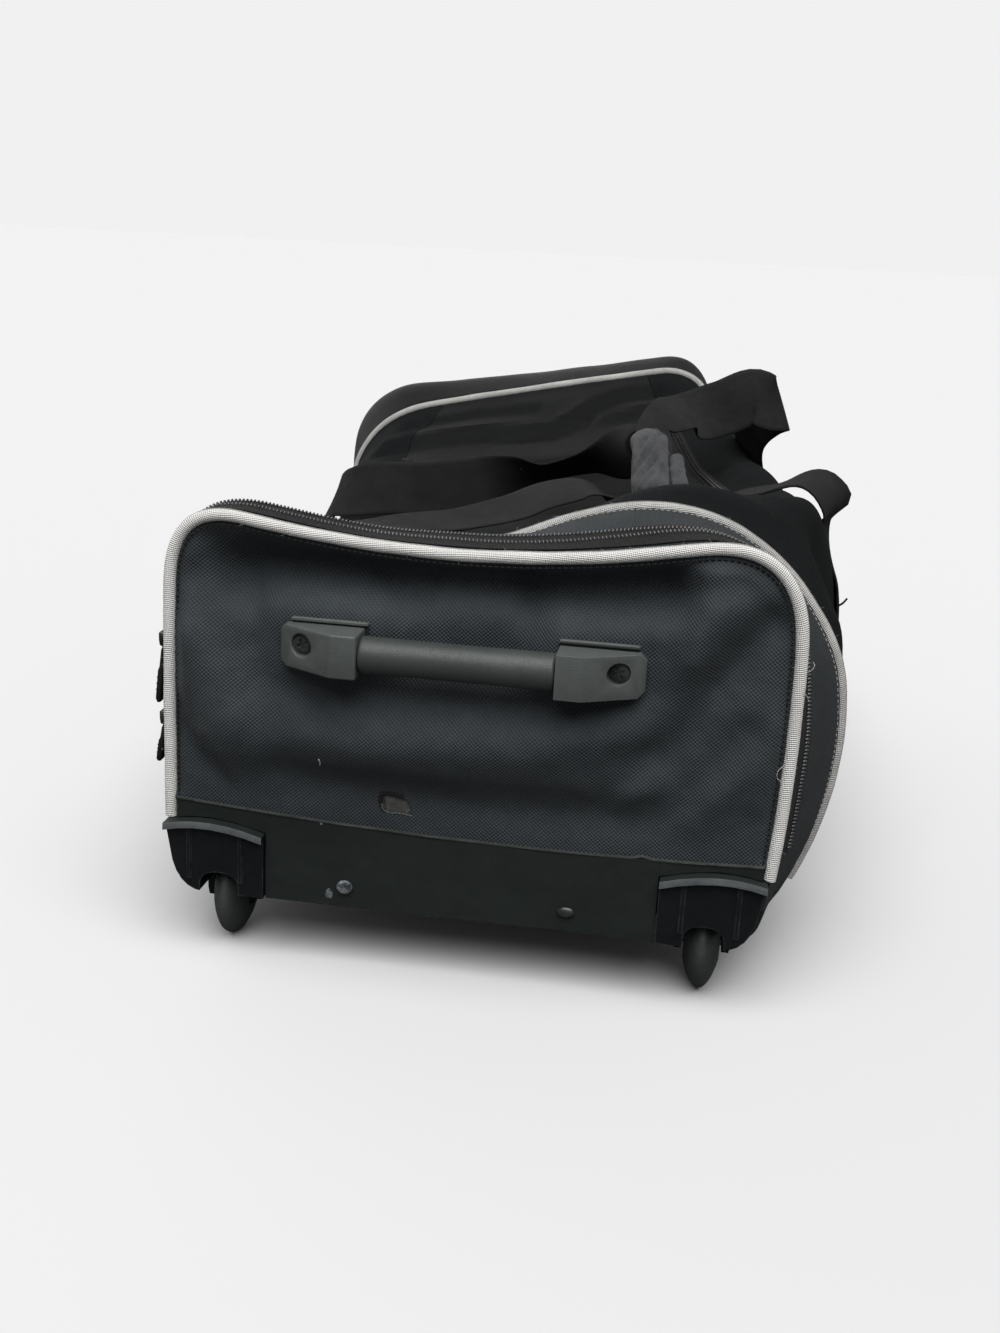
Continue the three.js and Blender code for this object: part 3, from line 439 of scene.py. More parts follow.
# each cloth: its material and where it differs from the cloth above
clothFinishes = {
    "panel": ("dobbyCloth", {}),
    "gusset": ("gussetCloth", {
        "across": 1.4, "along": 1.4, "fresh": rgb(36, 41, 43), "worn": rgb(52, 57, 60)}),
    # the side cloth is darkened to paint the shade that the side walls fall in
    "side": ("sideClothShadeDarkened", {
        "across": 1.4, "along": 1.4, "fresh": rgb(14, 16, 17), "worn": rgb(24, 27, 28), "shine": 0.12,
        "sheen": 0.0}),
    "black": ("blackCloth", {
        "across": 0.9, "along": 0.9, "fresh": rgb(12, 13, 13), "worn": rgb(21, 22, 22), "rough": 0.46,
        "shine": 0.3, "gapShadeAmount": 0.3, "sheen": 0.0}),
    "guard": ("coatedCloth", {
        "across": 1.0, "along": 1.0, "fresh": rgb(25, 30, 29), "worn": rgb(35, 40, 38), "gapShadeAmount": 0.1,
        "relief": 0.0001, "rough": 0.62, "shine": 0.22, "sheen": 0.0, "crease": 0.0015}),
    "piping": ("pipingCloth", {
        "across": 1.9, "along": 2.2, "lean": 0.8, "fresh": rgb(251, 250, 247), "worn": rgb(226, 224, 219),
        "gap": rgb(120, 118, 114), "gapShadeAmount": 0.7, "relief": 0.0009, "rough": 0.92, "lint": 0.0,
        "crease": 0.001, "sheen": 0.1, "wear": 0.6, "patch": 30.0}),
    "greyPiping": ("greyPipingCloth", {
        "across": 1.9, "along": 2.2, "lean": 0.8, "fresh": rgb(214, 213, 210), "worn": rgb(176, 175, 171),
        "gap": rgb(90, 88, 86), "gapShadeAmount": 0.7, "relief": 0.0009, "rough": 0.92, "lint": 0.0,
        "crease": 0.001, "wear": 0.8, "patch": 26.0}),
    "fray": ("frayedThread", {
        "fresh": rgb(92, 92, 86), "worn": rgb(134, 134, 126), "gapShadeAmount": 0.0, "lint": 0.0}),
    "hem": ("hemCloth", {
        "across": 1.0, "along": 1.0, "fresh": rgb(50, 55, 53), "worn": rgb(84, 88, 85), "relief": 0.0002,
        "patch": 60.0, "lint": 0.0}),
    "tape": ("zipTape", {
        "across": 0.8, "along": 0.8, "fresh": rgb(17, 16, 15), "worn": rgb(32, 30, 28), "gapShadeAmount": 0.4,
        "relief": 0.0003}),
    "webbing": ("webbing", {
        "across": 2.2, "along": 1.2, "lean": 0.5, "fresh": rgb(35, 35, 36), "worn": rgb(50, 50, 50),
        "relief": 0.0004, "patch": 20.0, "shine": 0.1, "sheen": 0.0}),
    "wrap": ("wrapCloth", {
        "across": 0.9, "along": 0.9, "fresh": rgb(50, 51, 53), "worn": rgb(80, 81, 83),
        "gap": rgb(30, 30, 32), "relief": 0.0003, "sheen": 0.1, "patch": 40.0, "wear": 0.9}),
    "darkThread": ("darkThread", {"fresh": rgb(18, 18, 18), "worn": rgb(40, 40, 40), "lint": 0.0}),
    "paleThread": ("paleThread", {
        "fresh": rgb(176, 174, 170), "worn": rgb(206, 205, 200), "gapShadeAmount": 0.0, "lint": 0.0}),
}


def hardFinish(name, look):
    material, tree, shader = startFinish(name)
    fade = useGroup(tree, "fade", Fresh=look["fresh"], Worn=look["worn"], Scale=look["patch"],
                    Amount=look["wear"])
    edge = useGroup(tree, "wear", Reach=look["edgeReach"], Amount=look["edge"])
    colour = blendColour(tree, edge["Mask"], fade["Colour"], look["edgeColour"])
    lint = useGroup(tree, "lint", Spacing=look["lintSpacing"], Share=look["lint"], Size=look["lintSize"])
    link(tree, blendColour(tree, lint["Mask"], colour, look["lintColour"]), shader["Base Color"])
    grain = useGroup(tree, "grain", Scale=look["grainScale"], Depth=look["grain"], Rough=look["rough"])
    link(tree, grain["Roughness"], shader["Roughness"])
    link(tree, grain["Normal"], shader["Normal"])
    shader["Metallic"].default_value = look["metal"]
    shader["Specular IOR Level"].default_value = look["shine"]
    return material


hardLook = {
    "fresh": rgb(72, 76, 75), "worn": rgb(86, 90, 89), "patch": 18.0, "wear": 0.7, "edge": 0.5,
    "edgeReach": 0.0012, "edgeColour": rgb(122, 126, 125), "grainScale": 900.0, "grain": 0.00015,
    "rough": 0.52, "metal": 0.0, "shine": 0.4, "lint": 0.04, "lintSpacing": 150.0, "lintSize": 0.2,
    "lintColour": rgb(140, 142, 142),
}
# each plastic or metal: its material and where it differs from the plastic above
hardFinishes = {
    "bracket": ("bracketPlastic", {}),
    "grip": ("gripPlastic", {"fresh": rgb(52, 56, 55), "worn": rgb(64, 68, 67), "edge": 0.0, "rough": 0.46}),
    "housing": ("housingPlastic", {
        "fresh": rgb(15, 18, 20), "worn": rgb(26, 29, 31), "edgeColour": rgb(84, 88, 89), "edge": 0.7,
        "edgeReach": 0.0014, "shine": 0.18}),
    "lip": ("wornLip", {
        "fresh": rgb(74, 79, 81), "worn": rgb(104, 108, 109), "patch": 60.0, "edgeColour": rgb(128, 131, 131),
        "rough": 0.62, "shine": 0.2}),
    "tyre": ("tyreRubber", {
        "fresh": rgb(48, 51, 51), "worn": rgb(72, 75, 74), "rough": 0.5, "grain": 0.0003, "edge": 0.2}),
    "board": ("bareBoard", {
        "fresh": rgb(66, 67, 64), "worn": rgb(104, 105, 101), "patch": 160.0, "edge": 0.0, "shine": 0.2}),
    "coil": ("zipCoil", {
        "fresh": rgb(56, 57, 59), "worn": rgb(104, 105, 106), "edge": 0.0, "rough": 0.24, "lint": 0.0,
        "shine": 0.9}),
    # a darker copy of the zip coil: painted shade for the long runs of the main zip
    "shadedCoil": ("shadedCoil", {
        "fresh": rgb(20, 20, 21), "worn": rgb(44, 44, 45), "edge": 0.0, "rough": 0.34, "lint": 0.0}),
    "pull": ("pullTab", {"fresh": rgb(24, 24, 25), "worn": rgb(40, 40, 41), "shine": 0.2}),
    "steel": ("dullSteel", {
        "fresh": rgb(104, 104, 102), "worn": rgb(140, 140, 136), "metal": 0.9, "rough": 0.4, "edge": 0.3,
        "edgeColour": rgb(180, 180, 176)}),
    "darkSteel": ("darkSteel", {
        "fresh": rgb(58, 59, 60), "worn": rgb(98, 99, 99), "metal": 0.8, "rough": 0.36, "patch": 120.0}),
    "scuffed": ("scuffedSteel", {
        "fresh": rgb(24, 26, 28), "worn": rgb(132, 137, 142), "metal": 0.3, "patch": 260.0, "wear": 1.0,
        "grainScale": 500.0, "grain": 0.0012, "edge": 0.0}),
    "screw": ("blackScrew", {"fresh": rgb(48, 50, 51), "worn": rgb(84, 86, 86), "metal": 0.4, "rough": 0.4}),
}
finishes = {}
for make, look, table in ((clothFinish, clothLook, clothFinishes), (hardFinish, hardLook, hardFinishes)):
    for kind, (name, change) in table.items():
        finishes[kind] = make(name, {**look, **change})
print("finishes made:", len(finishes))


# the skin of the bag: sections along y, each a ring of four sides and four rounded corners

stationNames = ("y", "base", "footL", "footR", "wallL", "wallR", "leftX", "leftZ", "rightX", "rightZ", "sag",
                "roundL", "roundR")
stationRows = np.array([
    (-400, 44, -185, 178, -186, 187, -184, 288, 183, 295, 25, 50, 66),
    (-366, 42, -184, 182, -195, 199, -183, 292, 168, 308, 28, 54, 96),
    (-330, 41, -184, 188, -203, 217, -180, 248, 147, 336, 35, 60, 138),
    (-200, 34, -184, 184, -220, 225, -194, 236, 196, 291, 26, 45, 24),
    (-60, 25, -188, 180, -234, 220, -210, 206, 197, 272, 34, 42, 30),
    (80, 16, -194, 174, -240, 212, -218, 184, 188, 266, 34, 42, 34),
    (180, 9, -200, 166, -244, 198, -226, 182, 170, 268, 28, 42, 42),
    (270, 3, -206, 158, -250, 176, -244, 226, 134, 298, 6, 44, 44),
    (330, 0, -212, 148, -255, 152, -255, 255, 103, 330, -2, 84, 42),
    (368, 0, -214, 148, -260, 150, -265, 284, 99, 343, 5, 78, 40),
    (400, 0, -210, 144, -250, 146, -252, 262, 92, 322, 4, 76, 42),
], float)
stretchSteps = 80  # points on each side and each corner of a ring
ringSmooth = 5.0
skin = {"seamFade": 24.0, "endFade": 20.0, "crumpleSize": 46.0, "crumple": 1.1, "crumpleStretch": (1, 0.7, 1)}

# folds that press the skin in: from, to, width, depth
skinFolds = [
    ((-225, 292, 212), (120, 292, 290), 22, 9),
    ((-238, -110, 120), (-246, 120, 105), 26, 12),
    ((-210, -60, 205), (-60, 90, 190), 30, 8),
    ((190, 60, 250), (60, 170, 215), 30, 9),
    ((206, -236, 248), (220, -205, 150), 30, 13),
    ((212, 20, 205), (206, 150, 110), 24, 7),
]
# long bent folds that only show: points, width, depth
skinBends = [
    (((-221, 268, 232), (-173, 270, 243), (-126, 272, 252), (-42, 268, 257), (-19, 280, 270), (-2, 295, 284),
      (29, 305, 297), (60, 304, 302)), 8, 7.0),
    (((-215, 284, 240), (-126, 288, 258), (-42, 286, 266), (-10, 300, 282)), 9, -5.0),
    (((-200, 304, 250), (-120, 306, 268), (-60, 304, 276)), 7, 4.0),
    (((10, 284, 280), (50, 288, 292), (95, 282, 300)), 9, -5.0),
    (((-228, 244, 214), (-180, 240, 224), (-90, 238, 234), (10, 236, 246)), 12, -5.0),
    (((-210, 222, 204), (-120, 218, 212), (20, 214, 230)), 10, 4.0),
]
# finer creases: from, to, width, depth
skinCreases = [
    ((50, -296, 300), (160, -292, 300), 20, -12.0),
    ((152, 110, 262), (134, 262, 288), 26, -9.0),
    ((-120, -250, 225), (60, -180, 225), 16, 3.0),
    ((-60, -120, 205), (120, -60, 225), 14, -2.5),
    ((-200, -300, 200), (-222, -180, 120), 14, 3.0),
    ((-236, -40, 170), (-244, 60, 60), 16, -3.0),
    ((-246, 150, 150), (-240, 240, 60), 14, 3.5),
    ((-252, 250, 190), (-246, 300, 90), 12, -2.5),
    ((215, -300, 230), (222, -220, 150), 12, -2.5),
    ((218, -120, 230), (214, -30, 110), 14, 3.0),
    ((205, 60, 190), (196, 160, 60), 13, -3.0),
    ((190, 200, 200), (176, 280, 90), 14, 3.5),
    ((160, 260, 240), (150, 310, 150), 10, -2.0),
]


def stationAt(y):
    ys = stationRows[:, 0]
    slopes = np.diff(stationRows, axis=0) / np.diff(ys)[:, None]
    product = slopes[:-1] * slopes[1:]
    total = np.where(product > 0, slopes[:-1] + slopes[1:], 1)
    tangents = np.vstack((slopes[:1], np.where(product > 0, 2 * product / total, 0), slopes[-1:]))
    k = int(np.clip(np.searchsorted(ys, y, side="right") - 1, 0, len(ys) - 2))
    step = ys[k + 1] - ys[k]
    t = (y - ys[k]) / step
    row = ((2 * t**3 - 3 * t**2 + 1) * stationRows[k] + (t**3 - 2 * t**2 + t) * step * tangents[k]
           + (3 * t**2 - 2 * t**3) * stationRows[k + 1] + (t**3 - t**2) * step * tangents[k + 1])
    return dict(zip(stationNames, row))


def bezier(a, b, c, t):
    t = np.asarray(t, float)[..., None]
    return (1 - t)**2 * a + 2 * t * (1 - t) * b + t**2 * c


@lru_cache(maxsize=None)
def ring(y):
    s = stationAt(y)
    corners = np.array([(s["footL"], s["base"]), (s["leftX"], s["leftZ"]), (s["rightX"], s["rightZ"]),
                        (s["footR"], s["base"])])
    after = np.roll(corners, -1, axis=0)
    halves = (corners + after) / 2
    middles = halves.copy()
    middles[0, 0], middles[2, 0] = s["wallL"], s["wallR"]
    middles[1, 1] -= s["sag"]
    pulls = 2 * middles - halves
    rounds = (bag["baseRounding"], s["roundL"], s["roundR"], bag["baseRounding"])
    fine = np.linspace(0, 1, 65)
    lengths = [np.linalg.norm(np.diff(bezier(corners[k], pulls[k], after[k], fine), axis=0), axis=1).sum()
               for k in range(4)]
    shares = np.arange(stretchSteps) / stretchSteps
    points = []
    for k in range(4):
        before = (k + 3) % 4
        first, last = rounds[k] / lengths[k], 1 - rounds[(k + 1) % 4] / lengths[k]
        start = bezier(corners[before], pulls[before], after[before], 1 - rounds[k] / lengths[before])
        end = bezier(corners[k], pulls[k], after[k], first)
        points.append(bezier(start, corners[k], end, shares))
        points.append(bezier(corners[k], pulls[k], after[k], first + (last - first) * shares))
    loop = np.concatenate(points)
    reach = np.arange(-20, 21)
    kernel = np.exp(-(reach / ringSmooth)**2 / 2)
    wrapped = np.concatenate((loop[-20:], loop, loop[:20]))
    return np.stack([np.convolve(wrapped[:, c], kernel / kernel.sum(), "valid") for c in (0, 1)], axis=1)


def ringAt(y, us):  # us run from 0 to 8: a corner, then a side, four times
    loop = ring(float(np.clip(y, -bag["endSeam"], bag["endSeam"])))
    spots = (np.asarray(us, float) * stretchSteps) % len(loop)
    low = spots.astype(int)
    part = (spots - low)[:, None]
    return loop[low] * (1 - part) + loop[(low + 1) % len(loop)] * part


def skinGrid(ys, us):
    return np.array([np.insert(ringAt(y, us), 1, y, axis=1) for y in ys])


def lineDistance(points, start, end):
    start, end = np.array(start, float), np.array(end, float)
    way = end - start
    share = np.clip(((points - start) @ way) / (way @ way), 0, 1)
    return np.linalg.norm(points - start - share[..., None] * way, axis=-1)


def bentDents(points, creases):
    total = 0
    for line, width, depth in creases:
        away = np.min([lineDistance(points, *ends) for ends in zip(line[:-1], line[1:])], axis=0)
        total = total + depth * np.exp(-(away / width)**2)
    return total


def dentAt(points, folds):
    return sum(depth * np.exp(-(lineDistance(points, start, end) / width)**2)
               for start, end, width, depth in folds)


def skinSurface(ys, us, creased=True):
    ys, us = np.asarray(ys, float), np.asarray(us, float)
    places = skinGrid(ys, us)
    around = skinGrid(ys, us + 0.03) - skinGrid(ys, us - 0.03)
    ahead, behind = np.minimum(ys + 3, bag["endSeam"]), np.maximum(ys - 3, -bag["endSeam"])
    along = skinGrid(ahead, us) - skinGrid(behind, us)
    normals = unit(np.cross(around, along))
    fade = np.minimum(1, np.abs(np.abs(ys) - bag["innerSeam"]) / skin["seamFade"])[:, None]
    dents = dentAt(places, skinFolds) * fade
    if creased:
        endFade = np.minimum(1, (bag["endSeam"] - np.abs(ys)) / skin["endFade"])[:, None]
        fine = dentAt(places, skinCreases) + bentDents(places, skinBends)
        fine = fine + crumple(places, skin["crumpleSize"], skin["crumple"], skin["crumpleStretch"])
        dents = dents + fine * fade * endFade
    steps = np.linalg.norm(np.diff(places, axis=1), axis=2)
    reach = np.concatenate((np.zeros((len(ys), 1)), np.cumsum(steps, axis=1)), axis=1)
    reach -= reach[:, -1:] / 2
    uv = np.stack((reach, np.broadcast_to(ys[:, None], reach.shape)), axis=-1)
    return places - normals * dents[..., None], normals, uv


def ramp(first, last, step):
    return np.linspace(first, last, max(2, int(round(abs(last - first) / step)) + 1))


# wheel housing room, so that the skins end where the housings begin
housing = {
    "inner": 121.5, "front": -407.0, "back": -333.0, "gap": 0.8,
    "topX": (121, 140, 156, 170, 185), "topZ": (83, 87.5, 89.5, 88.8, 86),
    "sideX": (172, 178, 181.5, 185), "sideZ": (40, 52, 68, 90),
}


def housingTop(reach):
    return np.interp(reach, housing["topX"], housing["topZ"]) + housing["gap"]


def insideHousing(points):
    reach, gap = np.abs(points[..., 0] - bag["wheelMiddle"]), housing["gap"]
    side = np.interp(points[..., 2], housing["sideZ"], housing["sideX"]) + gap
    return ((reach > housing["inner"] - gap) & (reach < side) & (points[..., 2] < housingTop(reach))
            & (points[..., 1] < housing["back"] + gap))


def declareSheet(piece, places, keep=None):  # prints the size and area that its net measures
    diagonals = places[1:, 1:] - places[:-1, :-1], places[1:, :-1] - places[:-1, 1:]
    cells = np.linalg.norm(np.cross(*diagonals), axis=2) / 2
    area = cells.sum() if keep is None else cells[keep].sum()
    wide, long = (np.linalg.norm(np.diff(places, axis=a), axis=2).sum(axis=a).max() for a in (1, 0))
    area = min(area, wide * long)
    print("sheet", piece.name, round(wide), "x", round(long), "mm, area", round(area / 1e6, 4))


def skinPiece(name, node, finish, slot, ys, us, cut=False):
    places, normals, uv = skinSurface(ys, us)
    keep = ~insideHousing((places[:-1, :-1] + places[1:, 1:]) / 2) if cut else None
    piece = arrayPiece(name, sheetArrays(places, normals, uv, -bag["cloth"], 0, keep), finish, node)
    declareSheet(piece, places, keep)


leftFoot, rightFoot = 1.005, 5.995
zipEdge, zipSlit = 0.04, 0.0012
nearZipY, mainZipY, lidEnd = -375.0, -300.0, 290.0
endY, innerY = bag["endSeam"], bag["innerSeam"]
seam = 1.2  # cloth is tucked to this far from a seam line
openRows = ramp(seam - innerY, innerY - seam, 5)
lidColumns = ramp(3 + zipEdge + zipSlit, 4 - zipEdge - zipSlit, 0.016)
gussetColumns = ramp(leftFoot, rightFoot, 0.012)
# piece: node, finish, slot, rows along the bag, columns round it, whether the housings cut it
skins = {
    "base_cloth": ("base_panel", "guard", "coated_cloth", ramp(seam - endY, endY - seam, 8),
                   ramp(6.0, 9.0, 0.03), True),
    "left_side_cloth": ("left_side_panel", "side", "cloth", openRows,
                        ramp(leftFoot, 3 + zipEdge - zipSlit, 0.026)),
    "right_side_cloth": ("right_side_panel", "side", "cloth", openRows,
                         ramp(4 - zipEdge + zipSlit, rightFoot, 0.026)),
    "near_strip_cloth": ("top_near_strip", "gusset", "cloth", ramp(seam - innerY, mainZipY - 0.5, 4),
                         lidColumns),
    "far_strip_cloth": ("top_far_strip", "black", "cloth", ramp(lidEnd + 0.1, innerY - seam, 3), lidColumns),
    "lid_cloth": ("lid", "black", "cloth", ramp(mainZipY + 0.5, lidEnd - 0.1, 5), lidColumns),
    "near_gusset_cloth": ("near_gusset", "gusset", "cloth", ramp(seam - endY, -innerY - seam, 3),
                          gussetColumns, True),
    "far_gusset_cloth": ("far_gusset", "black", "coated_cloth", ramp(innerY + seam, endY - seam, 3),
                         gussetColumns),
}
for name, row in skins.items():
    skinPiece(name, *row)
print("skins made")


# end panels

panel = {
    "guardTop": 92.0, "rest": 2.0, "dome": 9.0, "halfWidth": 190.0, "height": 182.0, "rim": 1.6, "tuck": 13.0,
    "cols": 190, "rows": 110, "seatDepth": 8.0, "seatFade": 34.0, "handleX": -6.0, "handleZ": 208.0,
    "bracketX": 82.0, "bracketHalf": 24.0, "bracketHigh": 9.0,
}
# folds across the wheeled end: from and to as x, z, then width and depth inwards
panelFolds = [
    ((-125, 250), (115, 252), 17, 7), ((-172, 240), (-118, 165), 15, 5), ((-178, 170), (-120, 120), 16, -4),
    ((172, 236), (112, 160), 17, 5), ((178, 180), (130, 122), 16, -4), ((-44, 208), (32, 208), 26, 13),
    ((-60, 146), (70, 150), 26, -4),
]
# what shows besides: bent lines of x, z, their width and depth
panelCreases = [
    (((-172, 205), (-143, 164), (-96, 152), (-30, 154), (30, 160), (80, 180), (118, 214), (134, 250)),
     24, -9.5),
    (((-140, 246), (-68, 249), (0, 250), (60, 249), (104, 256)), 19, 19.0),
    (((-160, 264), (-140, 234), (-122, 219)), 10, 5.0),
    (((-126, 205), (-118, 190), (-92, 170)), 10, 4.6),
    (((-180, 158), (-163, 128), (-148, 102)), 9, 4.6), (((-162, 146), (-144, 118)), 8, -3.0),
    (((112, 112), (130, 130), (160, 176)), 11, 5.0), (((92, 124), (112, 146)), 9, -3.6),
    (((142, 204), (168, 244)), 10, 4.4), (((112, 252), (150, 262)), 9, 3.6),
    (((126, 220), (132, 246)), 9, -3.0), (((28, 252), (37, 226)), 10, 4.4),
    (((-20, 240), (14, 236)), 10, -2.4), (((-58, 244), (-50, 228)), 9, 2.6),
    (((-110, 120), (-40, 114), (30, 110), (90, 114)), 16, 7.0),
]


def guardTopAt(x):  # the band is lowest in the middle
    x = np.asarray(x, float)
    return panel["guardTop"] + 1.0 - 0.014 * x + 0.00018 * x**2


def panelBulge(x, z):
    rise = smooth(z, panel["guardTop"] + 6, panel["guardTop"] + 46)
    across = np.maximum(0, 1 - (x / panel["halfWidth"])**2)
    up = np.sin(math.pi * np.clip((z - panel["guardTop"]) / panel["height"], 0, 1))
    flat, spots = np.stack((x, z), axis=-1), np.stack((x, z, 0 * x), axis=-1)
    free = panel["rest"] + rise * (panel["dome"] * across * up - dentAt(flat, panelFolds))
    fine = rise * (bentDents(flat, panelCreases) + crumple(spots, 38.0, 1.6) + crumple(spots, 15.0, 0.5))
    fromBracket = np.abs(np.abs(x - panel["handleX"]) - panel["bracketX"])
    sideways = np.maximum(fromBracket - panel["bracketHalf"], 0)
    upwards = np.maximum(np.abs(z - panel["handleZ"]) - panel["bracketHigh"], 0)
    loose = smooth(np.hypot(sideways, upwards), 2, panel["seatFade"])
    return panel["seatDepth"] * (1 - loose) + (free - fine) * loose


def insetRing(y, us, inset):
    here, ahead, behind = (ringAt(y, np.asarray(us) + d) for d in (0, 0.02, -0.02))
    way = unit(ahead - behind)
    return here + inset * np.stack((way[:, 1], -way[:, 0]), axis=1)


def patchGrid(y, bottom, cols, rows, inset):  # a four-sided net inside the seam, above a bottom line
    fine = np.linspace(1.02, 5.98, 800)
    loop = insetRing(y, fine, inset)
    low = bottom(loop[:, 0])
    left = loop[(fine <= 2.5) & (loop[:, 1] >= low)]
    right = loop[(fine >= 4.5) & (loop[:, 1] >= low)][::-1]
    top = loop[(fine >= 2.5) & (fine <= 4.5)]
    left[0, 1], right[0, 1] = bottom(left[0, 0]), bottom(right[0, 0])
    xs = np.linspace(left[0, 0], right[0, 0], 200)
    low = np.stack((xs, bottom(xs)), axis=1)
    runs = ((rows, left), (rows, right), (cols, top), (cols, low))
    left, right, top, low = (evenly(count, path)[0] for count, path in runs)
    left[-1], right[-1] = top[0], top[-1]
    s, t = np.linspace(0, 1, cols)[None, :, None], np.linspace(0, 1, rows)[:, None, None]
    corners = ((1 - s) * (1 - t) * low[0] + s * (1 - t) * low[-1] + (1 - s) * t * top[0] + s * t * top[-1])
    net = (1 - t) * low[None] + t * top[None] + (1 - s) * left[:, None] + s * right[:, None] - corners
    rim = np.concatenate((left, top, right))
    gap = np.min(np.linalg.norm(net.reshape(-1, 1, 2) - rim[None, ::3], axis=2), axis=1).reshape(rows, cols)
    return net[..., 0], net[..., 1], gap


def cutBy(piece, outline, near, far):  # cuts a flat shape right through a piece along y
    around = len(outline)
    points = [(x, y, z) for y in (near, far) for x, z in outline]
    faces = [[k, (k + 1) % around, around + (k + 1) % around, around + k] for k in range(around)]
    faces += [list(range(around)), list(range(around, 2 * around))]
    cutter = bpy.data.objects.new("cutter", newMesh("cutter", points, faces))
    scene.collection.objects.link(cutter)
    change = piece.modifiers.new("tear", "BOOLEAN")
    change.object, change.operation, change.solver = cutter, "DIFFERENCE", "EXACT"
    graph = bpy.context.evaluated_depsgraph_get()
    mesh = bpy.data.meshes.new_from_object(piece.evaluated_get(graph))
    piece.modifiers.clear()
    piece.data = mesh
    bpy.data.objects.remove(cutter)


tearOutline = [(-51, 115.5), (-50.6, 109), (-49, 105.8), (-46, 105.2), (-42, 105.6), (-38, 104.8), (-34, 105),
               (-34.6, 109.5), (-37, 113.6), (-41, 114.8), (-46, 115.2)]


def nearPanel():
    x, z, gap = patchGrid(-endY, lambda xs: guardTopAt(xs) - 2, panel["cols"], panel["rows"], panel["rim"])
    tuck = smooth(gap, 0, panel["tuck"])
    low = smooth(z - guardTopAt(x), -2, 6)
    bulge = panelBulge(x, z) * tuck * low + (-0.5) * (1 - tuck) * low + panel["rest"] * (1 - low)
    places = np.stack((x, -endY - bulge, z), axis=-1)
    arrays = sheetArrays(places, np.array((0, -1.0, 0)), np.stack((x, z), axis=-1), -bag["cloth"], 0)
    piece = arrayPiece("near_end_cloth", arrays, "panel", "near_end_panel")
    cutBy(piece, tearOutline, -endY - 40, -endY + 15)
    declareSheet(piece, places)


farEnd = {
    "foot": 4.0, "rest": 2.0, "dome": 8.0, "domeX": -55.0, "domeHalf": 210.0, "domeTop": 300.0, "wave": 2.2,
    "waveSize": 60.0, "tuck": 12.0, "cols": 150, "rows": 110,
}


def farPanel():
    x, z, gap = patchGrid(endY, lambda xs: farEnd["foot"] + 0 * np.asarray(xs, float), farEnd["cols"],
                          farEnd["rows"], panel["rim"])
    across = np.maximum(0, 1 - ((x - farEnd["domeX"]) / farEnd["domeHalf"])**2)
    dome = across * np.sin(math.pi * np.clip(z / farEnd["domeTop"], 0, 1))
    spots = np.stack((x, z, 0 * x), axis=-1)
    wave = crumple(spots, farEnd["waveSize"], farEnd["wave"], seed=5.0) * smooth(gap, 4, 40)
    bulge = (farEnd["rest"] + farEnd["dome"] * dome + wave) * smooth(gap, 0, farEnd["tuck"])
    places = np.stack((x, endY + bulge, z), axis=-1)
    arrays = sheetArrays(places, np.array((0, 1.0, 0)), np.stack((x, z), axis=-1), -bag["cloth"], 0)
    declareSheet(arrayPiece("far_end_cloth", arrays, "panel", "far_end_panel"), places)


nearPanel()
farPanel()
print("end panels made")


# pipings

piping = {"radius": 3.8, "around": 14, "step": 2.2, "wobble": 0.35, "swell": 0.05}


def pipingPath(y, first, last):
    us = np.linspace(first, last, 1600)
    flat = ringAt(y, us)
    here = np.insert(flat, 1, y, axis=1)
    way = unit(np.gradient(flat, axis=0))
    out = np.insert(np.stack((-way[:, 1], way[:, 0]), axis=1), 1, 0, axis=1)
    return resample(here, piping["step"], out)


def pipingPiece(place, y, ends, finish):
    path, out = pipingPath(y, *ends)
    path = path + out * crumple(path, 30.0, piping["wobble"], seed=y)[:, None]
    path[:, 1] += crumple(path, 34.0, piping["wobble"], seed=y + 9.0)
    out = unit(out)
    turn = np.linspace(0, 2 * math.pi, piping["around"], endpoint=False)
    radius = piping["radius"] * (1 + piping["swell"] * crumple(path, 12.0, 1.0, seed=y + 4.0))[:, None, None]
    along = np.array((0.0, 1.0, 0.0))
    spokes = np.cos(turn)[None, :, None] * out[:, None] + np.sin(turn)[None, :, None] * along
    arrays = loftArrays(path[:, None] + spokes * radius)
    arrayPiece(place + "_cord", arrays, finish, place + "_piping")
    return path, out


def cornerAtHeight(y, z, first, last):  # where the ring passes a height
    us = np.linspace(first, last, 400)
    return us[np.argmin(np.abs(ringAt(y, us)[:, 1] - z))]


nearOuterEnds = cornerAtHeight(-endY, 87.6, 1, 2), cornerAtHeight(-endY, 87.2, 5, 6)
footEnds = leftFoot, rightFoot
pipings = {
    "near_outer": (-endY, nearOuterEnds, "piping"), "near_inner": (-innerY, footEnds, "greyPiping"),
    "far_inner": (innerY, footEnds, "greyPiping"), "far_outer": (endY, footEnds, "greyPiping"),
}
pipingPaths = {place: pipingPiece(place, *row) for place, row in pipings.items()}


# loose fibres on the pipings

fuzz = {"perMm": 0.4, "length": (0.8, 2.6), "radius": 0.05}


def strand(points, radius, around=3):
    points = np.asarray(points, float)
    way = unit(np.gradient(points, axis=0))
    side = unit(np.cross(way, (0.3, 0.5, 0.8)))
    other = np.cross(way, side)
    turn = np.linspace(0, 2 * math.pi, around, endpoint=False)
    spokes = np.cos(turn)[None, :, None] * side[:, None] + np.sin(turn)[None, :, None] * other[:, None]
    return loftArrays(points[:, None] + spokes * radius)


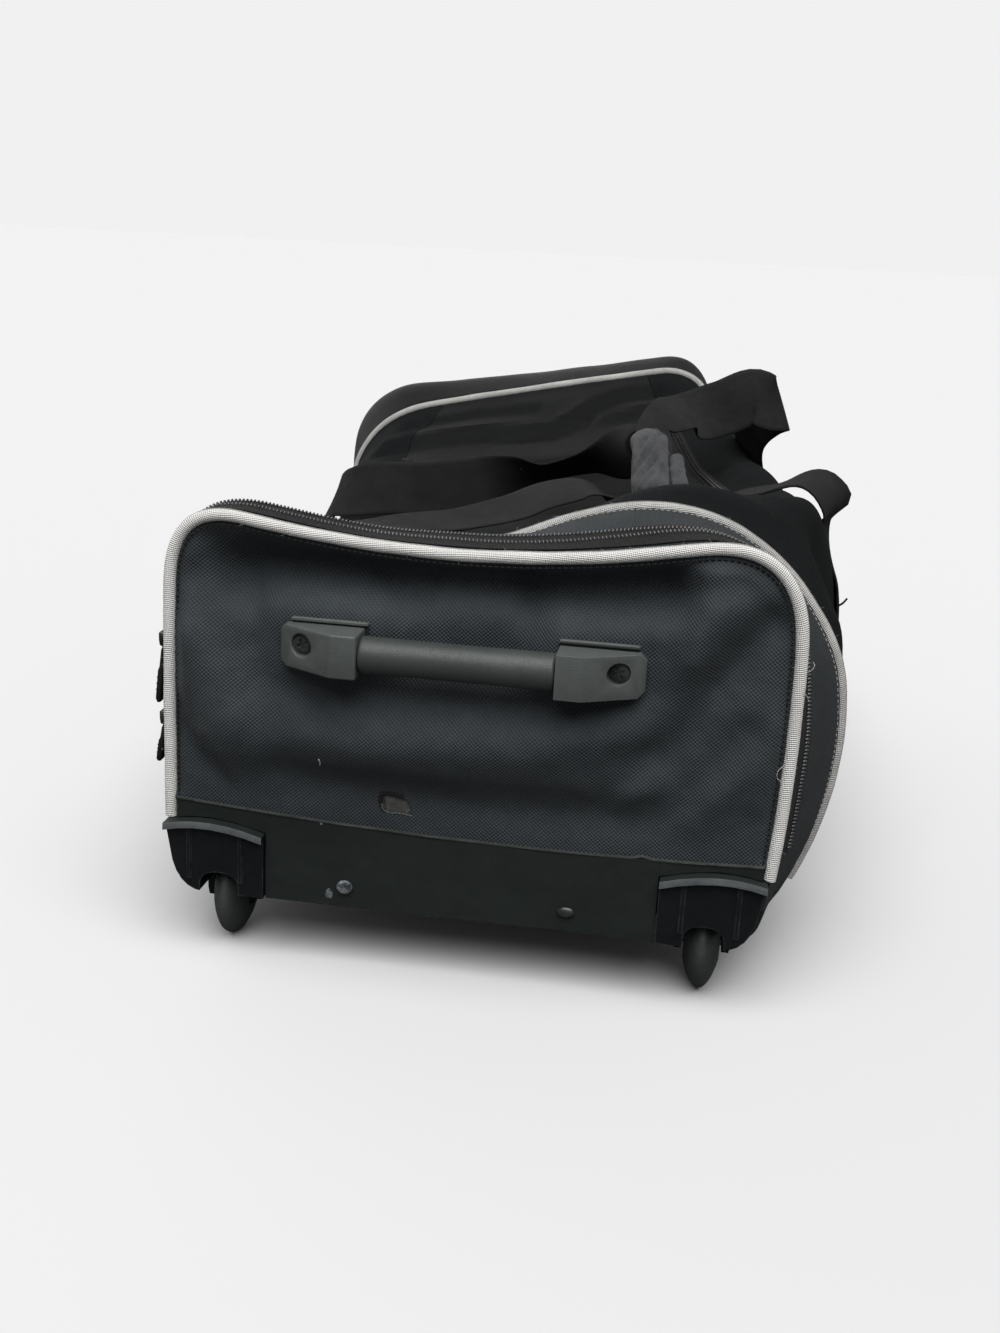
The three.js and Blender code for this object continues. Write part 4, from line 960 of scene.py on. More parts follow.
def fuzzPiece():
    parts = []
    for path, out in pipingPaths.values():
        total = int(len(path) * piping["step"] * fuzz["perMm"])
        for k in rng.integers(2, len(path) - 2, total):
            way = unit(path[k + 1] - path[k - 1])
            angle = rng.uniform(0, 2 * math.pi)
            lift = math.cos(angle) * out[k] + math.sin(angle) * np.array((0, 1.0, 0))
            root = path[k] + lift * (piping["radius"] - 0.2)
            length = rng.uniform(*fuzz["length"])
            lean = unit(lift * rng.uniform(0.15, 0.9) + way * rng.uniform(-1, 1) + rng.normal(0, 0.25, 3))
            curl = rng.normal(0, 0.5, 3)
            points = [root + lean * length * t + curl * length * 0.5 * t * t for t in (0, 0.35, 0.7, 1)]
            parts.append(strand(points, fuzz["radius"]))
    arrayPiece("piping_fuzz", joinArrays(parts), "paleThread")


fuzzPiece()
print("pipings made")


# zips: two tapes and two rows of coil

zips = {
    "tape": 12.0, "tapeLift": 0.45, "tapeThick": 0.7, "pitch": 2.3, "row": 1.5, "tooth": (3.2, 1.3, 2.2),
    "lean": 0.22, "coilLift": 1.5, "nearFoot": 100.0, "nearBefore": 15.0, "nearAfter": 7.0, "nearApart": 3.6,
    "mainHalf": 0.019, "mainEnd": 250.0,
}


def zipRows(path, normals, part=lambda reach: 0 * reach):  # part: how far the rows stand apart
    path, normals = resample(path, zips["pitch"], normals)
    way = unit(np.gradient(path, axis=0))
    up = unit(normals)
    side = unit(np.cross(up, way))
    template = bead(*zips["tooth"], around=8, rings=4)
    apart = part(np.linspace(0, 1, len(path)))[:, None]
    parts = []
    for sign in (-1, 1):
        shift = way * (zips["pitch"] / 2 if sign > 0 else 0)
        lean = unit(side + sign * zips["lean"] * way)
        places = path + side * sign * (zips["row"] + apart) + up * zips["coilLift"] + shift
        parts.append(strewArrays(template, places, lean, np.cross(up, lean), up))
    return parts


def tapeArrays(ys, us):
    return sheetArrays(*skinSurface(ys, us), zips["tapeLift"], zips["tapeLift"] + zips["tapeThick"])


def skinLine(ys, us):
    grid = [skinSurface((y,), (u - 0.02, u, u + 0.02)) for y, u in zip(ys, us)]
    return np.array([g[0][0, 1] for g in grid]), np.array([g[1][0, 1] for g in grid])


def nearZip():
    first, last = (cornerAtHeight(nearZipY, zips["nearFoot"], side, side + 1) for side in (1, 5))
    us = ramp(first, last, 0.012)
    ys = nearZipY + np.linspace(-zips["nearBefore"], zips["nearAfter"], 12)
    arrayPiece("near_zip_tape", tapeArrays(ys, us), "tape", "near_zip")
    line = skinLine(np.full(len(us), nearZipY), us)
    rows = zipRows(*line, lambda reach: zips["nearApart"] * (1 - smooth(reach, 0.55, 0.72)))
    arrayPiece("near_zip_coil", joinArrays(rows), "coil", sharp=80)


def mainZip():
    left, right, half, wide = 3 + zipEdge, 4 - zipEdge, zips["mainHalf"], zips["tape"] / 2
    rows = ramp(mainZipY - wide, zips["mainEnd"] + 5, 6)
    bands = [tapeArrays(rows, np.linspace(u - half, u + half, 6)) for u in (left, right)]
    bands.append(tapeArrays(mainZipY + np.linspace(-wide, wide, 6), ramp(left + half, right - half, 0.02)))
    arrayPiece("main_zip_tape", joinArrays(bands), "tape", "main_zip")
    ys, cross = ramp(mainZipY, zips["mainEnd"], 6), ramp(left, right, 0.02)
    longRuns = [skinLine(ys, np.full(len(ys), u)) for u in (left, right)]
    nearRun = [skinLine(np.full(len(cross), mainZipY), cross)]
    # the long runs use the darker coil copy as painted shade, the cross run the plain coil
    for name, runs, finish in (("long", longRuns, "shadedCoil"), ("near", nearRun, "coil")):
        teeth = joinArrays([part for run in runs for part in zipRows(*run)])
        arrayPiece("main_zip_coil_" + name, teeth, finish, sharp=80)


nearZip()
mainZip()
print("zips made")


# zip sliders and pulls on the left wall

sliders = {"upper": {"z": 190.0, "pull": 36.0}, "lower": {"z": 139.0, "pull": 24.0}}
# sections of a slider, a pull and its ribs: height or share of the length, half x, half y
sliderBody = ((-1, 1.2, 3.0), (0, 2.2, 3.8), (4, 2.25, 4.9), (8, 2.2, 5.0), (9, 1.2, 4.2))
pullBody = ((0, 0.7, 1.5), (0.06, 1.2, 2.6), (0.35, 1.3, 3.0), (0.42, 1.9, 3.7), (0.93, 1.9, 3.9),
            (1, 1.0, 3.0))
pullRib = ((0.7, 1.3, 3.2), (0.3, 2.0, 3.2), (-0.3, 2.0, 3.2), (-0.7, 1.3, 3.2))
ribShares = (0.55, 0.66, 0.77)


def roundedBar(sections, corner=0.8, steps=3):  # a bar of rounded rectangles: rows of x, y, z, half x, half y
    turn = np.concatenate([np.linspace(q, q + math.pi / 2, steps + 1) for q in np.arange(4) * math.pi / 2])
    quarter = np.repeat(np.arange(4), steps + 1)
    signs = np.array([(1, 1), (-1, 1), (-1, -1), (1, -1)])[quarter]
    rings = []
    for x, y, z, halfX, halfY in sections:
        bend = min(corner, halfX * 0.95, halfY * 0.95)
        rings.append(np.stack((x + signs[:, 0] * (halfX - bend) + bend * np.cos(turn),
                               y + signs[:, 1] * (halfY - bend) + bend * np.sin(turn),
                               np.full(len(turn), z)), axis=1))
    return loftArrays(np.array(rings))


def sliderPieces():
    for name, look in sliders.items():
        x, y, z = boxMiddle("zip_slider_" + name)[0], nearZipY, look["z"]
        body = roundedBar([(x, y, z + dz, halfX, halfY) for dz, halfX, halfY in sliderBody])
        bridge = roundedBar([(x - 1.4, y, z + dz, 0.9, 1.2) for dz in (0.5, 3, 6.5)])
        arrayPiece("zip_slider_body_" + name, joinArrays([body, bridge]), "darkSteel",
                   "zip_slider_" + name)
        tab = [(x - 0.6 - 3.2 * t, y, z - 1.5 - look["pull"] * t, halfX, halfY)
               for t, halfX, halfY in pullBody]
        ribs = []
        for t in ribShares:
            ribX, ribZ = x - 0.6 - 3.2 * t - 0.3, z - 1.5 - look["pull"] * t
            ribs.append(roundedBar([(ribX, y, ribZ + dz, halfX, halfY) for dz, halfX, halfY in pullRib]))
        arrayPiece("zip_pull_tab_" + name, joinArrays([roundedBar(tab, 1.4), *ribs]), "pull",
                   "zip_pull_" + name)


sliderPieces()
print("sliders made")


# base guard: a coated band with a folded top edge

guard = {"front": -404.5, "thick": 2.0, "foot": 40.5, "hem": 1.0, "leftEnd": 177.5, "rightEnd": 181.5,
         "hemStart": 178.0, "pucker": 107.0}


def bandArrays(xs, low, high):
    z = low[None] + (high - low)[None] * np.linspace(0, 1, 26)[:, None]
    x = np.broadcast_to(xs[None], z.shape)
    wave = crumple(np.stack((x, z, 0 * z), axis=-1), 55.0, 0.8, (1, 1.6, 1), 3.0) * smooth(z, 44, 60)
    places = np.stack((x, guard["front"] - np.maximum(wave, -0.4), z), axis=-1)
    return sheetArrays(places, np.array((0, 1.0, 0)), np.stack((x, z), axis=-1), guard["thick"], 0)


def guardPiece():
    middle, inner = bag["wheelMiddle"], housing["inner"] - housing["gap"]
    xs = ramp(middle - inner, middle + inner, 3)
    sag = guard["foot"] + 0.9 * np.sin(xs / 37.0) * np.sin(xs / 90.0 + 1)
    parts = [bandArrays(xs, np.maximum(sag, guard["foot"] - 0.2), guardTopAt(xs))]
    for sign, last in ((-1, guard["leftEnd"]), (1, guard["rightEnd"])):
        reach = ramp(inner + 0.1, last, 3)
        xs = middle + sign * reach
        parts.append(bandArrays(xs, housingTop(reach), guardTopAt(xs)))
    arrayPiece("guard_band", joinArrays(parts), "guard", "base_guard")
    xs = ramp(middle - guard["hemStart"], middle + guard["rightEnd"], 3)
    path = np.stack((xs, np.full(len(xs), guard["front"] + 0.3), guardTopAt(xs) - 0.2), axis=1)
    path[:, 2] += crumple(path, 40.0, 0.5)
    path[:, 2] += 1.6 * np.exp(-((xs - guard["pucker"]) / 4.0)**2)
    arrayPiece("guard_hem", strand(path, guard["hem"], 8), "hem")


guardPiece()
refinish("stiffener_board", "board")
print("base guard made")


# hard pieces: the CAD shapes with softened edges

def softened(name, node, finish, width):
    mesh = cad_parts[node].data.copy()
    soft = bmesh.new()
    soft.from_mesh(mesh)
    bmesh.ops.remove_doubles(soft, verts=soft.verts, dist=1e-5)
    bmesh.ops.dissolve_limit(soft, angle_limit=math.radians(3), verts=soft.verts, edges=soft.edges)
    soft.normal_update()
    edges = [e for e in soft.edges if e.is_manifold and e.calc_face_angle(0) > math.radians(28)]
    bmesh.ops.bevel(soft, geom=edges, offset=width / 1000, segments=3, profile=0.5, affect="EDGES",
                    clamp_overlap=True)
    bmesh.ops.recalc_face_normals(soft, faces=soft.faces)
    soft.to_mesh(mesh)
    soft.free()
    mesh.shade_smooth()
    mesh.set_sharp_from_angle(angle=math.radians(35))
    return addPiece(name, mesh, finish, node)


lip = {"bottom": 76.0, "top": 78.0, "front": housing["front"] - 1.9}


def paintLip(mesh):  # worn on the front of the lip, coated on top of it
    mesh.materials.append(finishes["lip"])
    mesh.materials.append(finishes["guard"])
    for face in mesh.polygons:
        spot = np.array(face.center) * 1000 - origin
        if face.normal[2] > 0.6 and spot[2] > lip["top"]:
            face.material_index = 2
        else:
            face.material_index = int(spot[1] < lip["front"] and spot[2] > lip["bottom"])


for side in sides:
    shell = softened(side + "_housing_shell", side + "_wheel_housing", "housing", 1.1)
    paintLip(shell.data)
    softened(side + "_bracket_block", side + "_handle_bracket", "bracket", 1.4)

# the back plate of each bracket shows above it as a strip with a ledge, the strip dark partly as painted
# shade in the recess: x and top, then sections
plates = {
    "left": (-84.0, 223.0), "right": (73.5, 223.5), "half": 23.0, "back": -408.8,
    "strip": ((-15, 0, 0.9), (-1, 0, 0.9), (0, 0.5, 0.9)),
    "ledge": ((-1.2, 1, 0.9), (-0.5, 0, 1.6), (0.7, 0, 1.6), (1.3, 1, 0.9)),
}


def platePieces():
    for side in sides:
        (x, top), y, half = plates[side], plates["back"], plates["half"]
        strip = [(x, y, top + dz, half - inset, deep) for dz, inset, deep in plates["strip"]]
        # the strip's dark guard finish is partly the plate's colour and partly painted shade between the
        # ledge and the bracket top
        arrayPiece(side + "_bracket_plate", roundedBar(strip), "guard")
        ledge = [(x, y - 1.0, top + dz, half - inset, deep) for dz, inset, deep in plates["ledge"]]
        arrayPiece(side + "_bracket_ledge", roundedBar(ledge), "bracket")


platePieces()

grip = {"radius": 11.0, "half": 56.5, "waist": 0.25, "segments": 48}


def gripPiece():
    half, radius = grip["half"], grip["radius"]
    profile = [(-half, 0), (-half, radius - 1.2), (-half + 0.6, radius - 0.4), (-half + 1.6, radius)]
    profile += [(x, radius - grip["waist"] * math.cos(x / half * math.pi / 2))
                for x in np.linspace(-half + 3, half - 3, 20)]
    profile += [(-x, r) for x, r in reversed(profile[:4])]
    arrays = latheArrays(profile, boxMiddle("handle_grip"), (1, 0, 0), grip["segments"])
    arrayPiece("grip_bar", arrays, "grip", "handle_grip")


screw = {"radius": 5.6, "rim": 0.8, "crown": 1.1, "slot": 1.4, "slotHalf": 0.95, "slotReach": 3.4,
         "tilt": 0.4}


def screwPieces():
    radius, tilt = screw["radius"], screw["tilt"]
    turns = np.linspace(0, 2 * math.pi, 64, endpoint=False)
    for side in sides:
        center = boxMiddle(side + "_bracket_screw")
        sections = []
        for r in np.linspace(0, radius, 26):
            x, z = r * np.cos(turns), r * np.sin(turns)
            a, b = x * math.cos(tilt) + z * math.sin(tilt), -x * math.sin(tilt) + z * math.cos(tilt)
            arms = [smooth(screw["slotHalf"] - np.abs(p), -0.15, 0.15) * (np.abs(q) < screw["slotReach"])
                    for p, q in ((a, b), (b, a))]
            depth = screw["rim"] + screw["crown"] * (1 - (r / radius)**2) - screw["slot"] * np.maximum(*arms)
            sections.append(np.stack((center[0] + x, center[1] - depth + 0.4, center[2] + z), axis=1))
        sections.append(np.stack((center[0] + x, np.full(64, center[1] + 0.8), center[2] + z), axis=1))
        arrayPiece(side + "_screw_head", loftArrays(np.array(sections)), "screw",
                   side + "_bracket_screw", sharp=30)


# rivets through the guard, the left one scuffed bare: finish, squat and profile
rivets = {
    "left": ("scuffed", 0.9, [(0, 0), (0, 5.0), (0.7, 5.1), (1.4, 4.6), (1.7, 3.6), (1.5, 2.4), (0.6, 1.5),
                              (0.4, 0)]),
    "right": ("darkSteel", 0.64, [(0, 0), (0, 5.4), (0.6, 5.5), (1.2, 5.0), (1.7, 4.0), (2.1, 2.6),
                                  (2.3, 1.3), (2.3, 0)]),
}
scuff = {"x": -83.0, "z": 48.0, "profile": [(0, 0), (0, 2.4), (0.3, 2.2), (0.5, 1.2), (0.5, 0)]}


def rivetPieces():
    place = scuff["x"], guard["front"], scuff["z"]
    points, faces, uv = latheArrays(scuff["profile"], place, (0, -1, 0), 14)
    points = points + (0, 0, 1) * (0.5 * (points[:, 2:] - scuff["z"]) + crumple(points, 2.0, 0.9)[:, None])
    arrayPiece("guard_scuff", (points, faces, uv), "scuffed")
    for side, (finish, squat, profile) in rivets.items():
        node = "base_rivet_" + side
        x, _, z = boxMiddle(node)
        points, faces, uv = latheArrays(profile, (x, boxMm(node)[1][1], z), (0, -1, 0), 28)
        points = points * (1, 1, squat) + (0, 0, z * (1 - squat))
        arrayPiece("rivet_head_" + side, (points, faces, uv), finish, node)


wheel = {"width": 22.0, "bore": 4.5, "segments": 72}


def wheelPieces():
    half, radius = wheel["width"] / 2, bag["wheelRadius"]
    rim = [(0.0, radius), (1.3, 30.8), (2.4, 30.3), (3.5, 29.5), (4.6, 28.3), (6.0, 26.3), (7.4, 23.8),
           (8.7, 20.8), (9.8, 17.6), (half - 0.4, 14.6), (half, 13.0), (half - 0.2, 11.6), (half - 2.2, 10.6),
           (half - 2.4, 7.4), (half - 2.4, wheel["bore"])]
    profile = [(-x, r) for x, r in reversed(rim)] + rim[1:] + [(-rim[-1][0], rim[-1][1])]
    spots = np.linspace(0, 2 * math.pi, wheel["segments"], endpoint=False)
    spokes = np.stack((0 * spots, np.cos(spots), np.sin(spots)), axis=1)
    for side, sign in zip(sides, (-1, 1)):
        center = np.array((bag["wheelMiddle"] + sign * bag["wheelSpread"], bag["wheelY"], radius))
        sections = np.array([center + (x, 0, 0) + spokes * r for x, r in profile])
        arrayPiece(side + "_wheel_tyre", loftArrays(sections, capped=False), "tyre", side + "_wheel",
                   side + "_wheel", 30)
        refinish(side + "_axle", "steel")


gripPiece()
screwPieces()
rivetPieces()
wheelPieces()
print("hard pieces made")


# carry handles: webbing up a side, over the top and through the wrap

strap = {"width": 50.0, "thick": 1.8, "lift": 2.6, "step": 4.0, "wrapShare": 0.6, "wrapOffset": 2.7,
         "curl": 1.2, "across": 15}
wrap = {"near": np.array((84.0, -12, 244)), "far": np.array((73.0, 90, 285)),
        "across": np.array((1.0, 0.1, 0))}
# free runs: the middle of the webbing and the way its width points
leftRun = [(-110, -156, 234, -0.2, 1, 0), (-62, -108, 233, -0.3, 0.95, 0.1), (-27, -78, 240, -0.3, 0.93, 0.2),
           (0, -60, 250, -0.3, 0.92, 0.22), (27, -52, 255, -0.35, 0.9, 0.15), (50, -52, 248, -0.65, 0.75, 0),
           (71, -46, 239, -0.95, 0.3, 0)]
leftReturn = [(68, 108, 281, -0.9, -0.2, -0.3), (60, 119, 273, -0.5, -0.25, -0.8),
              (42, 130, 260, 0, 0.3, -0.95), (12, 137, 250, 0, 0.85, -0.5), (-19, 143, 240, 0.05, 0.9, -0.4),
              (-52, 148, 231, 0.1, 0.5, -0.85), (-90, 150, 222, 0.1, 0, -0.98),
              (-138, 150, 213, 0.08, -0.1, -0.98), (-187, 152, 209, 0.1, -0.2, -0.96),
              (-216, 160, 203, 0.12, -0.45, -0.85), (-234, 174, 196, 0.1, -0.75, -0.6),
              (-247, 190, 176, 0, -0.97, -0.2)]
rightRun = [(211, -150, 258, 0.2, 1, 0), (214, -152, 266, 0.4, 0.9, 0), (215, -155, 271, 0.45, 0.9, 0.12),
            (211, -158, 278, 0.45, 0.9, 0.2), (202, -162, 284, 0.4, 0.9, 0.16),
            (185, -166, 287, 0.25, 1, -0.05), (162, -168, 281, 0.1, 1, -0.03), (140, -156, 274, 0.25, 0.9, 0),
            (120, -128, 264, 0.45, 0.8, 0), (107, -92, 259, 0.7, 0.6, 0), (98, -58, 254, 0.9, 0.3, 0)]
rightReturn = [(90, 117, 303, 0.9, -0.25, -0.35), (104, 132, 300, 0.4, -0.5, -0.77),
               (130, 142, 307, 0.28, -0.12, -0.95), (158, 149, 319, 0.12, -0.2, -0.97),
               (173, 153, 314, 0.28, -0.14, -0.94), (181, 158, 313, 0.36, -0.1, -0.93),
               (184, 166, 312, 0.36, -0.1, -0.93), (181, 174, 310, 0.36, -0.1, -0.93),
               (172, 178, 305, 0.4, -0.1, -0.9), (157, 184, 290, 0.65, -0.2, -0.72),
               (158, 204, 268, 0.55, -0.6, -0.55)]


def catmull(points, ts):  # centripetal curve through the points, ts in steps from point to point
    points = np.asarray(points, float)
    ends = np.vstack((2 * points[0] - points[1], points, 2 * points[-1] - points[-2]))
    result = []
    for t in ts:
        k = min(int(t), len(points) - 2)
        p0, p1, p2, p3 = ends[k:k + 4]
        d0, d1, d2 = (max(np.linalg.norm(b - a)**0.5, 1e-3) for a, b in ((p0, p1), (p1, p2), (p2, p3)))
        m1 = ((p1 - p0) / d0 - (p2 - p0) / (d0 + d1) + (p2 - p1) / d1) * d1
        m2 = ((p2 - p1) / d1 - (p3 - p1) / (d1 + d2) + (p3 - p2) / d2) * d1
        s = t - k
        result.append((2 * s**3 - 3 * s**2 + 1) * p1 + (s**3 - 2 * s**2 + s) * m1 + (3 * s**2 - 2 * s**3) * p2
                      + (s**3 - s**2) * m2)
    return np.array(result)


def sewnRun(y, us, way):
    rows, half = [], strap["width"] / 2 * way
    for u in us:
        places, normals, _ = skinSurface((y - half, y + half), (u - 0.02, u, u + 0.02), creased=False)
        a, b = places[:, 1] + normals[:, 1] * strap["lift"]
        rows.append((*((a + b) / 2), *unit(b - a)))
    return rows


def wrappedRun(way):
    across = unit(wrap["across"]) * strap["wrapShare"] * way
    lift = (0, 0, strap["wrapOffset"] * way)
    return [(*(wrap["near"] + (wrap["far"] - wrap["near"]) * share + lift), *across)
            for share in (-0.1, 0.15, 0.5, 0.85, 1.1)]


def freeRun(rows):
    return [(*row[:3], *unit(np.array(row[3:], float))) for row in rows]


def webbingPiece(name, node, rows, seed):
    rows = np.array(rows)
    ts = np.linspace(0, len(rows) - 1, 420)
    middles, widths = catmull(rows[:, :3], ts), catmull(rows[:, 3:], ts)
    shares = np.interp(ts, np.arange(len(rows)), np.linalg.norm(rows[:, 3:], axis=1))
    middles, widths, shares = resample(middles, strap["step"], widths, shares[:, None])
    way = unit(np.gradient(middles, axis=0))
    across = unit(widths - way * np.sum(widths * way, axis=1, keepdims=True))
    up = np.cross(across, way)
    half, thick = strap["width"] / 2 * shares, strap["thick"] / 2
    flat = np.linspace(-1, 1, strap["across"])
    face = np.stack((flat * 0.985, np.ones(len(flat))), axis=1)
    edge = np.array([(1.0, 0.35), (1.004, 0), (1.0, -0.35)])
    profile = np.concatenate((face, edge, -face, -edge))
    curl = crumple(middles, 70.0, 1.0, seed=seed)[:, None] * (profile[None, :, 0]**2 - 0.35) * strap["curl"]
    sections = (middles[:, None] + across[:, None] * (half * profile[None, :, 0])[..., None]
                + up[:, None] * (profile[None, :, 1] * thick + curl)[..., None])
    arrayPiece(name, loftArrays(sections), "webbing", node, sharp=60)
    return middles, across, up


leftWall, rightWall = np.linspace(1.2, 1.8, 7), np.linspace(5.2, 5.8, 7)
leftRows = [*sewnRun(-172, [*leftWall, 2.0, 2.25, 2.5, 2.75], 1), *freeRun(leftRun), *wrappedRun(-1),
            *freeRun(leftReturn), *sewnRun(195, leftWall[::-1], -1)]
rightRows = [*sewnRun(-150, rightWall[::-1], 1), *freeRun(rightRun), *wrappedRun(1), *freeRun(rightReturn),
             *sewnRun(226, rightWall, -1)]
straps = {
    "left": webbingPiece("left_webbing", "left_carry_handle", leftRows, 2.0),
    "right": webbingPiece("right_webbing", "right_carry_handle", rightRows, 8.0),
}


# the padded wrap: a thick roll round both straps and a thin one along its right side

rolls = [
    {"middle": -4.5, "half": 16.0, "height": 13.0, "first": 0.0, "last": 1.0},
    {"middle": 18.5, "half": 7.0, "height": 8.5, "first": 0.0, "last": 0.66},
]
# pleats on the rolls: from and to as mm across and along, then width and depth
rollPleats = [
    ((-18, 12), (0, 50), 2.6, 4.0), ((-20, 34), (-5, 64), 2.6, 3.4), ((-19, 56), (-9, 80), 2.4, 2.8),
    ((4, 6), (7, 44), 3.0, 2.6), ((-10, 8), (-4, 24), 2.4, 2.4), ((-2, 70), (6, 96), 2.8, 2.4),
    ((16, 10), (19, 34), 2.2, 2.0),
]


def rollArrays(roll):
    reach = wrap["far"] - wrap["near"]
    along = unit(reach)
    across = unit(wrap["across"] - along * (wrap["across"] @ along))
    up = np.cross(across, along)
    rows = np.linspace(roll["first"], roll["last"], 56)
    turn = np.linspace(0, -2 * math.pi, 72, endpoint=False)
    c, s = (np.sign(v) * np.abs(v)**0.95 for v in (np.cos(turn), np.sin(turn)))
    ends = np.maximum(np.abs(np.linspace(-1, 1, 56)) - 0.72, 0) / 0.28
    size = np.sqrt(np.maximum(1 - ends**2, 0.1))[:, None]
    side = roll["middle"] + roll["half"] * size * c
    length = np.broadcast_to(rows[:, None] * np.linalg.norm(reach), side.shape)
    normals = unit((c / roll["half"])[:, None] * across + (s / roll["height"])[:, None] * up)
    places = (wrap["near"] + length[..., None] * along + side[..., None] * across
              + (roll["height"] * size * s)[..., None] * up)
    creases = crumple(places, 15.0, 1.7, (1, 0.6, 1), 2.5) + crumple(places, 6.0, 0.9, (1, 0.5, 1), 8.0)
    creases = creases - dentAt(np.stack((side, length), axis=-1), rollPleats) * (s > 0)
    return loftArrays(places + normals * creases[..., None])


def wrapPiece():
    arrays = joinArrays([rollArrays(roll) for roll in rolls])
    piece = arrayPiece("wrap_sleeve", arrays, "wrap", "handle_wrap", sharp=60)


wrapPiece()
print("handles made")


# stitches

stitch = {
    "pitch": 3.6, "size": (2.7, 0.55), "rimSize": (3.0, 1.5), "rimInset": 5.6, "strapEdge": 0.86,
    "pale": -337.5, "dark": (-392.0, -322.5, 322.5, 337.5, 392.0), "zip": 4.8,
}


def stitchArrays(path, normals, lift, size=stitch["size"]):
    path, normals = resample(path, stitch["pitch"], normals)
    way, up = unit(np.gradient(path, axis=0)), unit(normals)
    length, width = size
    template = bead(length, width, width * 0.8, around=6, rings=4)
    return strewArrays(template, path + up * lift, way, np.cross(up, way), up)


def seamLine(y):
    us = ramp(1.3, 5.7, 0.02)
    return skinLine(np.full(len(us), y), us)


def stitchPieces():
    pale = [stitchArrays(*seamLine(stitch["pale"]), 0.15)]
    dark = [stitchArrays(*seamLine(y), 0.15) for y in stitch["dark"]]
    dark += [stitchArrays(*seamLine(nearZipY + away), 1.25) for away in (-stitch["zip"], stitch["zip"])]
    for middles, across, up in straps.values():
        for run in (slice(2, 24), slice(-24, -2)):
            for share in (-stitch["strapEdge"], stitch["strapEdge"]):
                edge = middles[run] + across[run] * share * strap["width"] / 2
                dark += [stitchArrays(edge, up[run], lift) for lift in (0.95, -0.95)]
    # a row of wide dark stitches inside the seam below the outer piping: real stitches, made wide and dark to
    # paint the shadow gap under the piping
    rim = insetRing(-endY, np.linspace(*nearOuterEnds, 900), stitch["rimInset"])
    rim = np.insert(rim, 1, -endY - 1.6, axis=1)
    dark.append(stitchArrays(rim, np.broadcast_to((0, -1.0, 0), rim.shape), 0, stitch["rimSize"]))
    arrayPiece("dark_stitches", joinArrays(dark), "darkThread", sharp=80)
    arrayPiece("pale_stitches", joinArrays(pale), "paleThread", sharp=80)


stitchPieces()
print("stitches made")


# loose threads, frayed edges and dark strands painted as the shade inside the tear: finish, radius, then the
# points of each

def onPanel(line, lift):
    return [(x, -endY - float(panelBulge(np.array(x), np.array(z))) - lift, z) for x, z in line]


strandsAndTearShade = [
    # two thick dark strands along the upper and left edge of the tear: painted shade inside the hole
    ("darkThread", 1.8, onPanel([(-53, 111), (-52, 116.4), (-46, 117), (-39, 115.8)], -0.6)),
    ("darkThread", 1.0, onPanel([(-53, 112), (-52.4, 107), (-50, 105)], -0.3)),
    ("fray", 0.3, onPanel([(-52, 110), (-51, 106.5), (-47, 104.8), (-41, 105.2), (-33, 104.2)], 0.3)),
    ("fray", 0.2, onPanel([(-49, 105), (-47.6, 107.5), (-48.4, 109.6)], 0.2)),
    ("fray", 0.2, onPanel([(-37, 104.8), (-36, 107), (-34.2, 108.4)], 0.2)),
    ("paleThread", 0.42, onPanel([(-88.2, 139), (-87.7, 136.6), (-88.4, 134)], 0.5)),
    ("paleThread", 0.16, [(187, -402, 214), (192, -403, 217), (194, -402, 220), (193, -401, 222)]),
    ("paleThread", 0.16, [(183, -404, 160), (180, -406, 157), (180, -406, 153), (182, -406, 151)]),
    ("paleThread", 0.14, [(186, -402, 205), (191, -403, 203), (193, -402, 199)]),
    ("wrap", 0.7, [(70, 86, 279), (75, 88, 283), (77.5, 88, 287), (75.5, 88, 290.5), (72, 88, 290)]),
    ("darkThread", 0.8, [(216, -150, 196), (224, -150, 198), (229, -150, 201), (232, -150, 205)]),
]


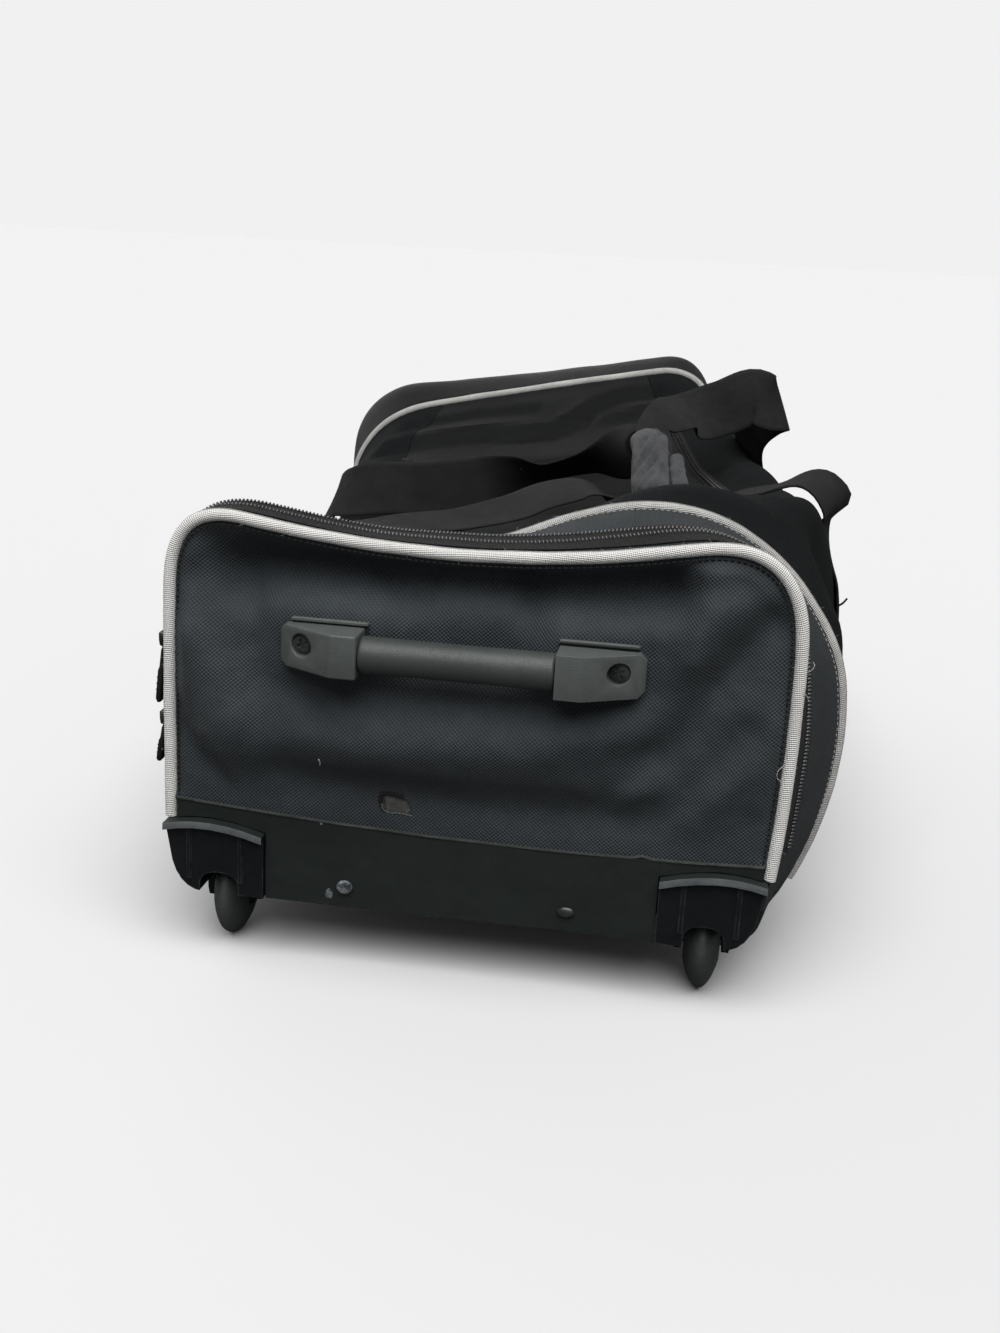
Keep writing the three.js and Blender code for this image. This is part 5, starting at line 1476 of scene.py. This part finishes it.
def threadPieces():
    for finish in sorted({row[0] for row in strandsAndTearShade}):
        parts = [strand(catmull(line, np.linspace(0, len(line) - 1, 5 * len(line))), radius, 6)
                 for kind, radius, line in strandsAndTearShade if kind == finish]
        arrayPiece("strands_" + finish, joinArrays(parts), finish)


threadPieces()
print("threads made")


# floor and light

studio = {
    "backdrop": 0.878, "fill": 0.25, "floorSeen": 0.62, "floorBounce": 0.12, "reach": 400.0,
    "sunSpread": 60,
    "suns": {"softSun": ((0.08, -0.45, 0.89), 4.0), "backRim": ((-0.6, 0.78, 0.15), 0.9)},
}


def addStage():
    reach = studio["reach"]
    corners = [(-reach, -reach, 0), (reach, -reach, 0), (reach, reach, 0), (-reach, reach, 0)]
    mesh = bpy.data.meshes.new("floor")
    mesh.from_pydata(corners, [], [(0, 1, 2, 3)])
    floor = bpy.data.objects.new("floor", mesh)
    material, tree, shader = startFinish("paleFloor")
    seen = tree.nodes.new("ShaderNodeLightPath").outputs["Is Camera Ray"]
    tones = [(studio[k],) * 3 + (1,) for k in ("floorBounce", "floorSeen")]
    link(tree, blendColour(tree, seen, *tones), shader["Base Color"])
    shader["Roughness"].default_value = 1.0
    shader["Specular IOR Level"].default_value = 0.0
    mesh.materials.append(material)
    scene.collection.objects.link(floor)

    world = bpy.data.worlds.new("studio")
    world.use_nodes = True
    sky = world.node_tree
    seen = sky.nodes.new("ShaderNodeLightPath").outputs["Is Camera Ray"]
    background = sky.nodes["Background"].inputs
    link(sky, spread(sky, seen, 0.0, 1.0, studio["fill"], studio["backdrop"]), background["Strength"])
    background["Color"].default_value = (1, 1, 1, 1)
    scene.world = world

    for name, (comesFrom, strength) in studio["suns"].items():
        data = bpy.data.lights.new(name, "SUN")
        data.angle, data.energy = math.radians(studio["sunSpread"]), strength
        lamp = bpy.data.objects.new(name, data)
        lamp.rotation_euler = (-Vector(comesFrom)).to_track_quat("-Z", "Y").to_euler()
        scene.collection.objects.link(lamp)
    scene.view_settings.view_transform = "Standard"


addStage()
print("stage set")
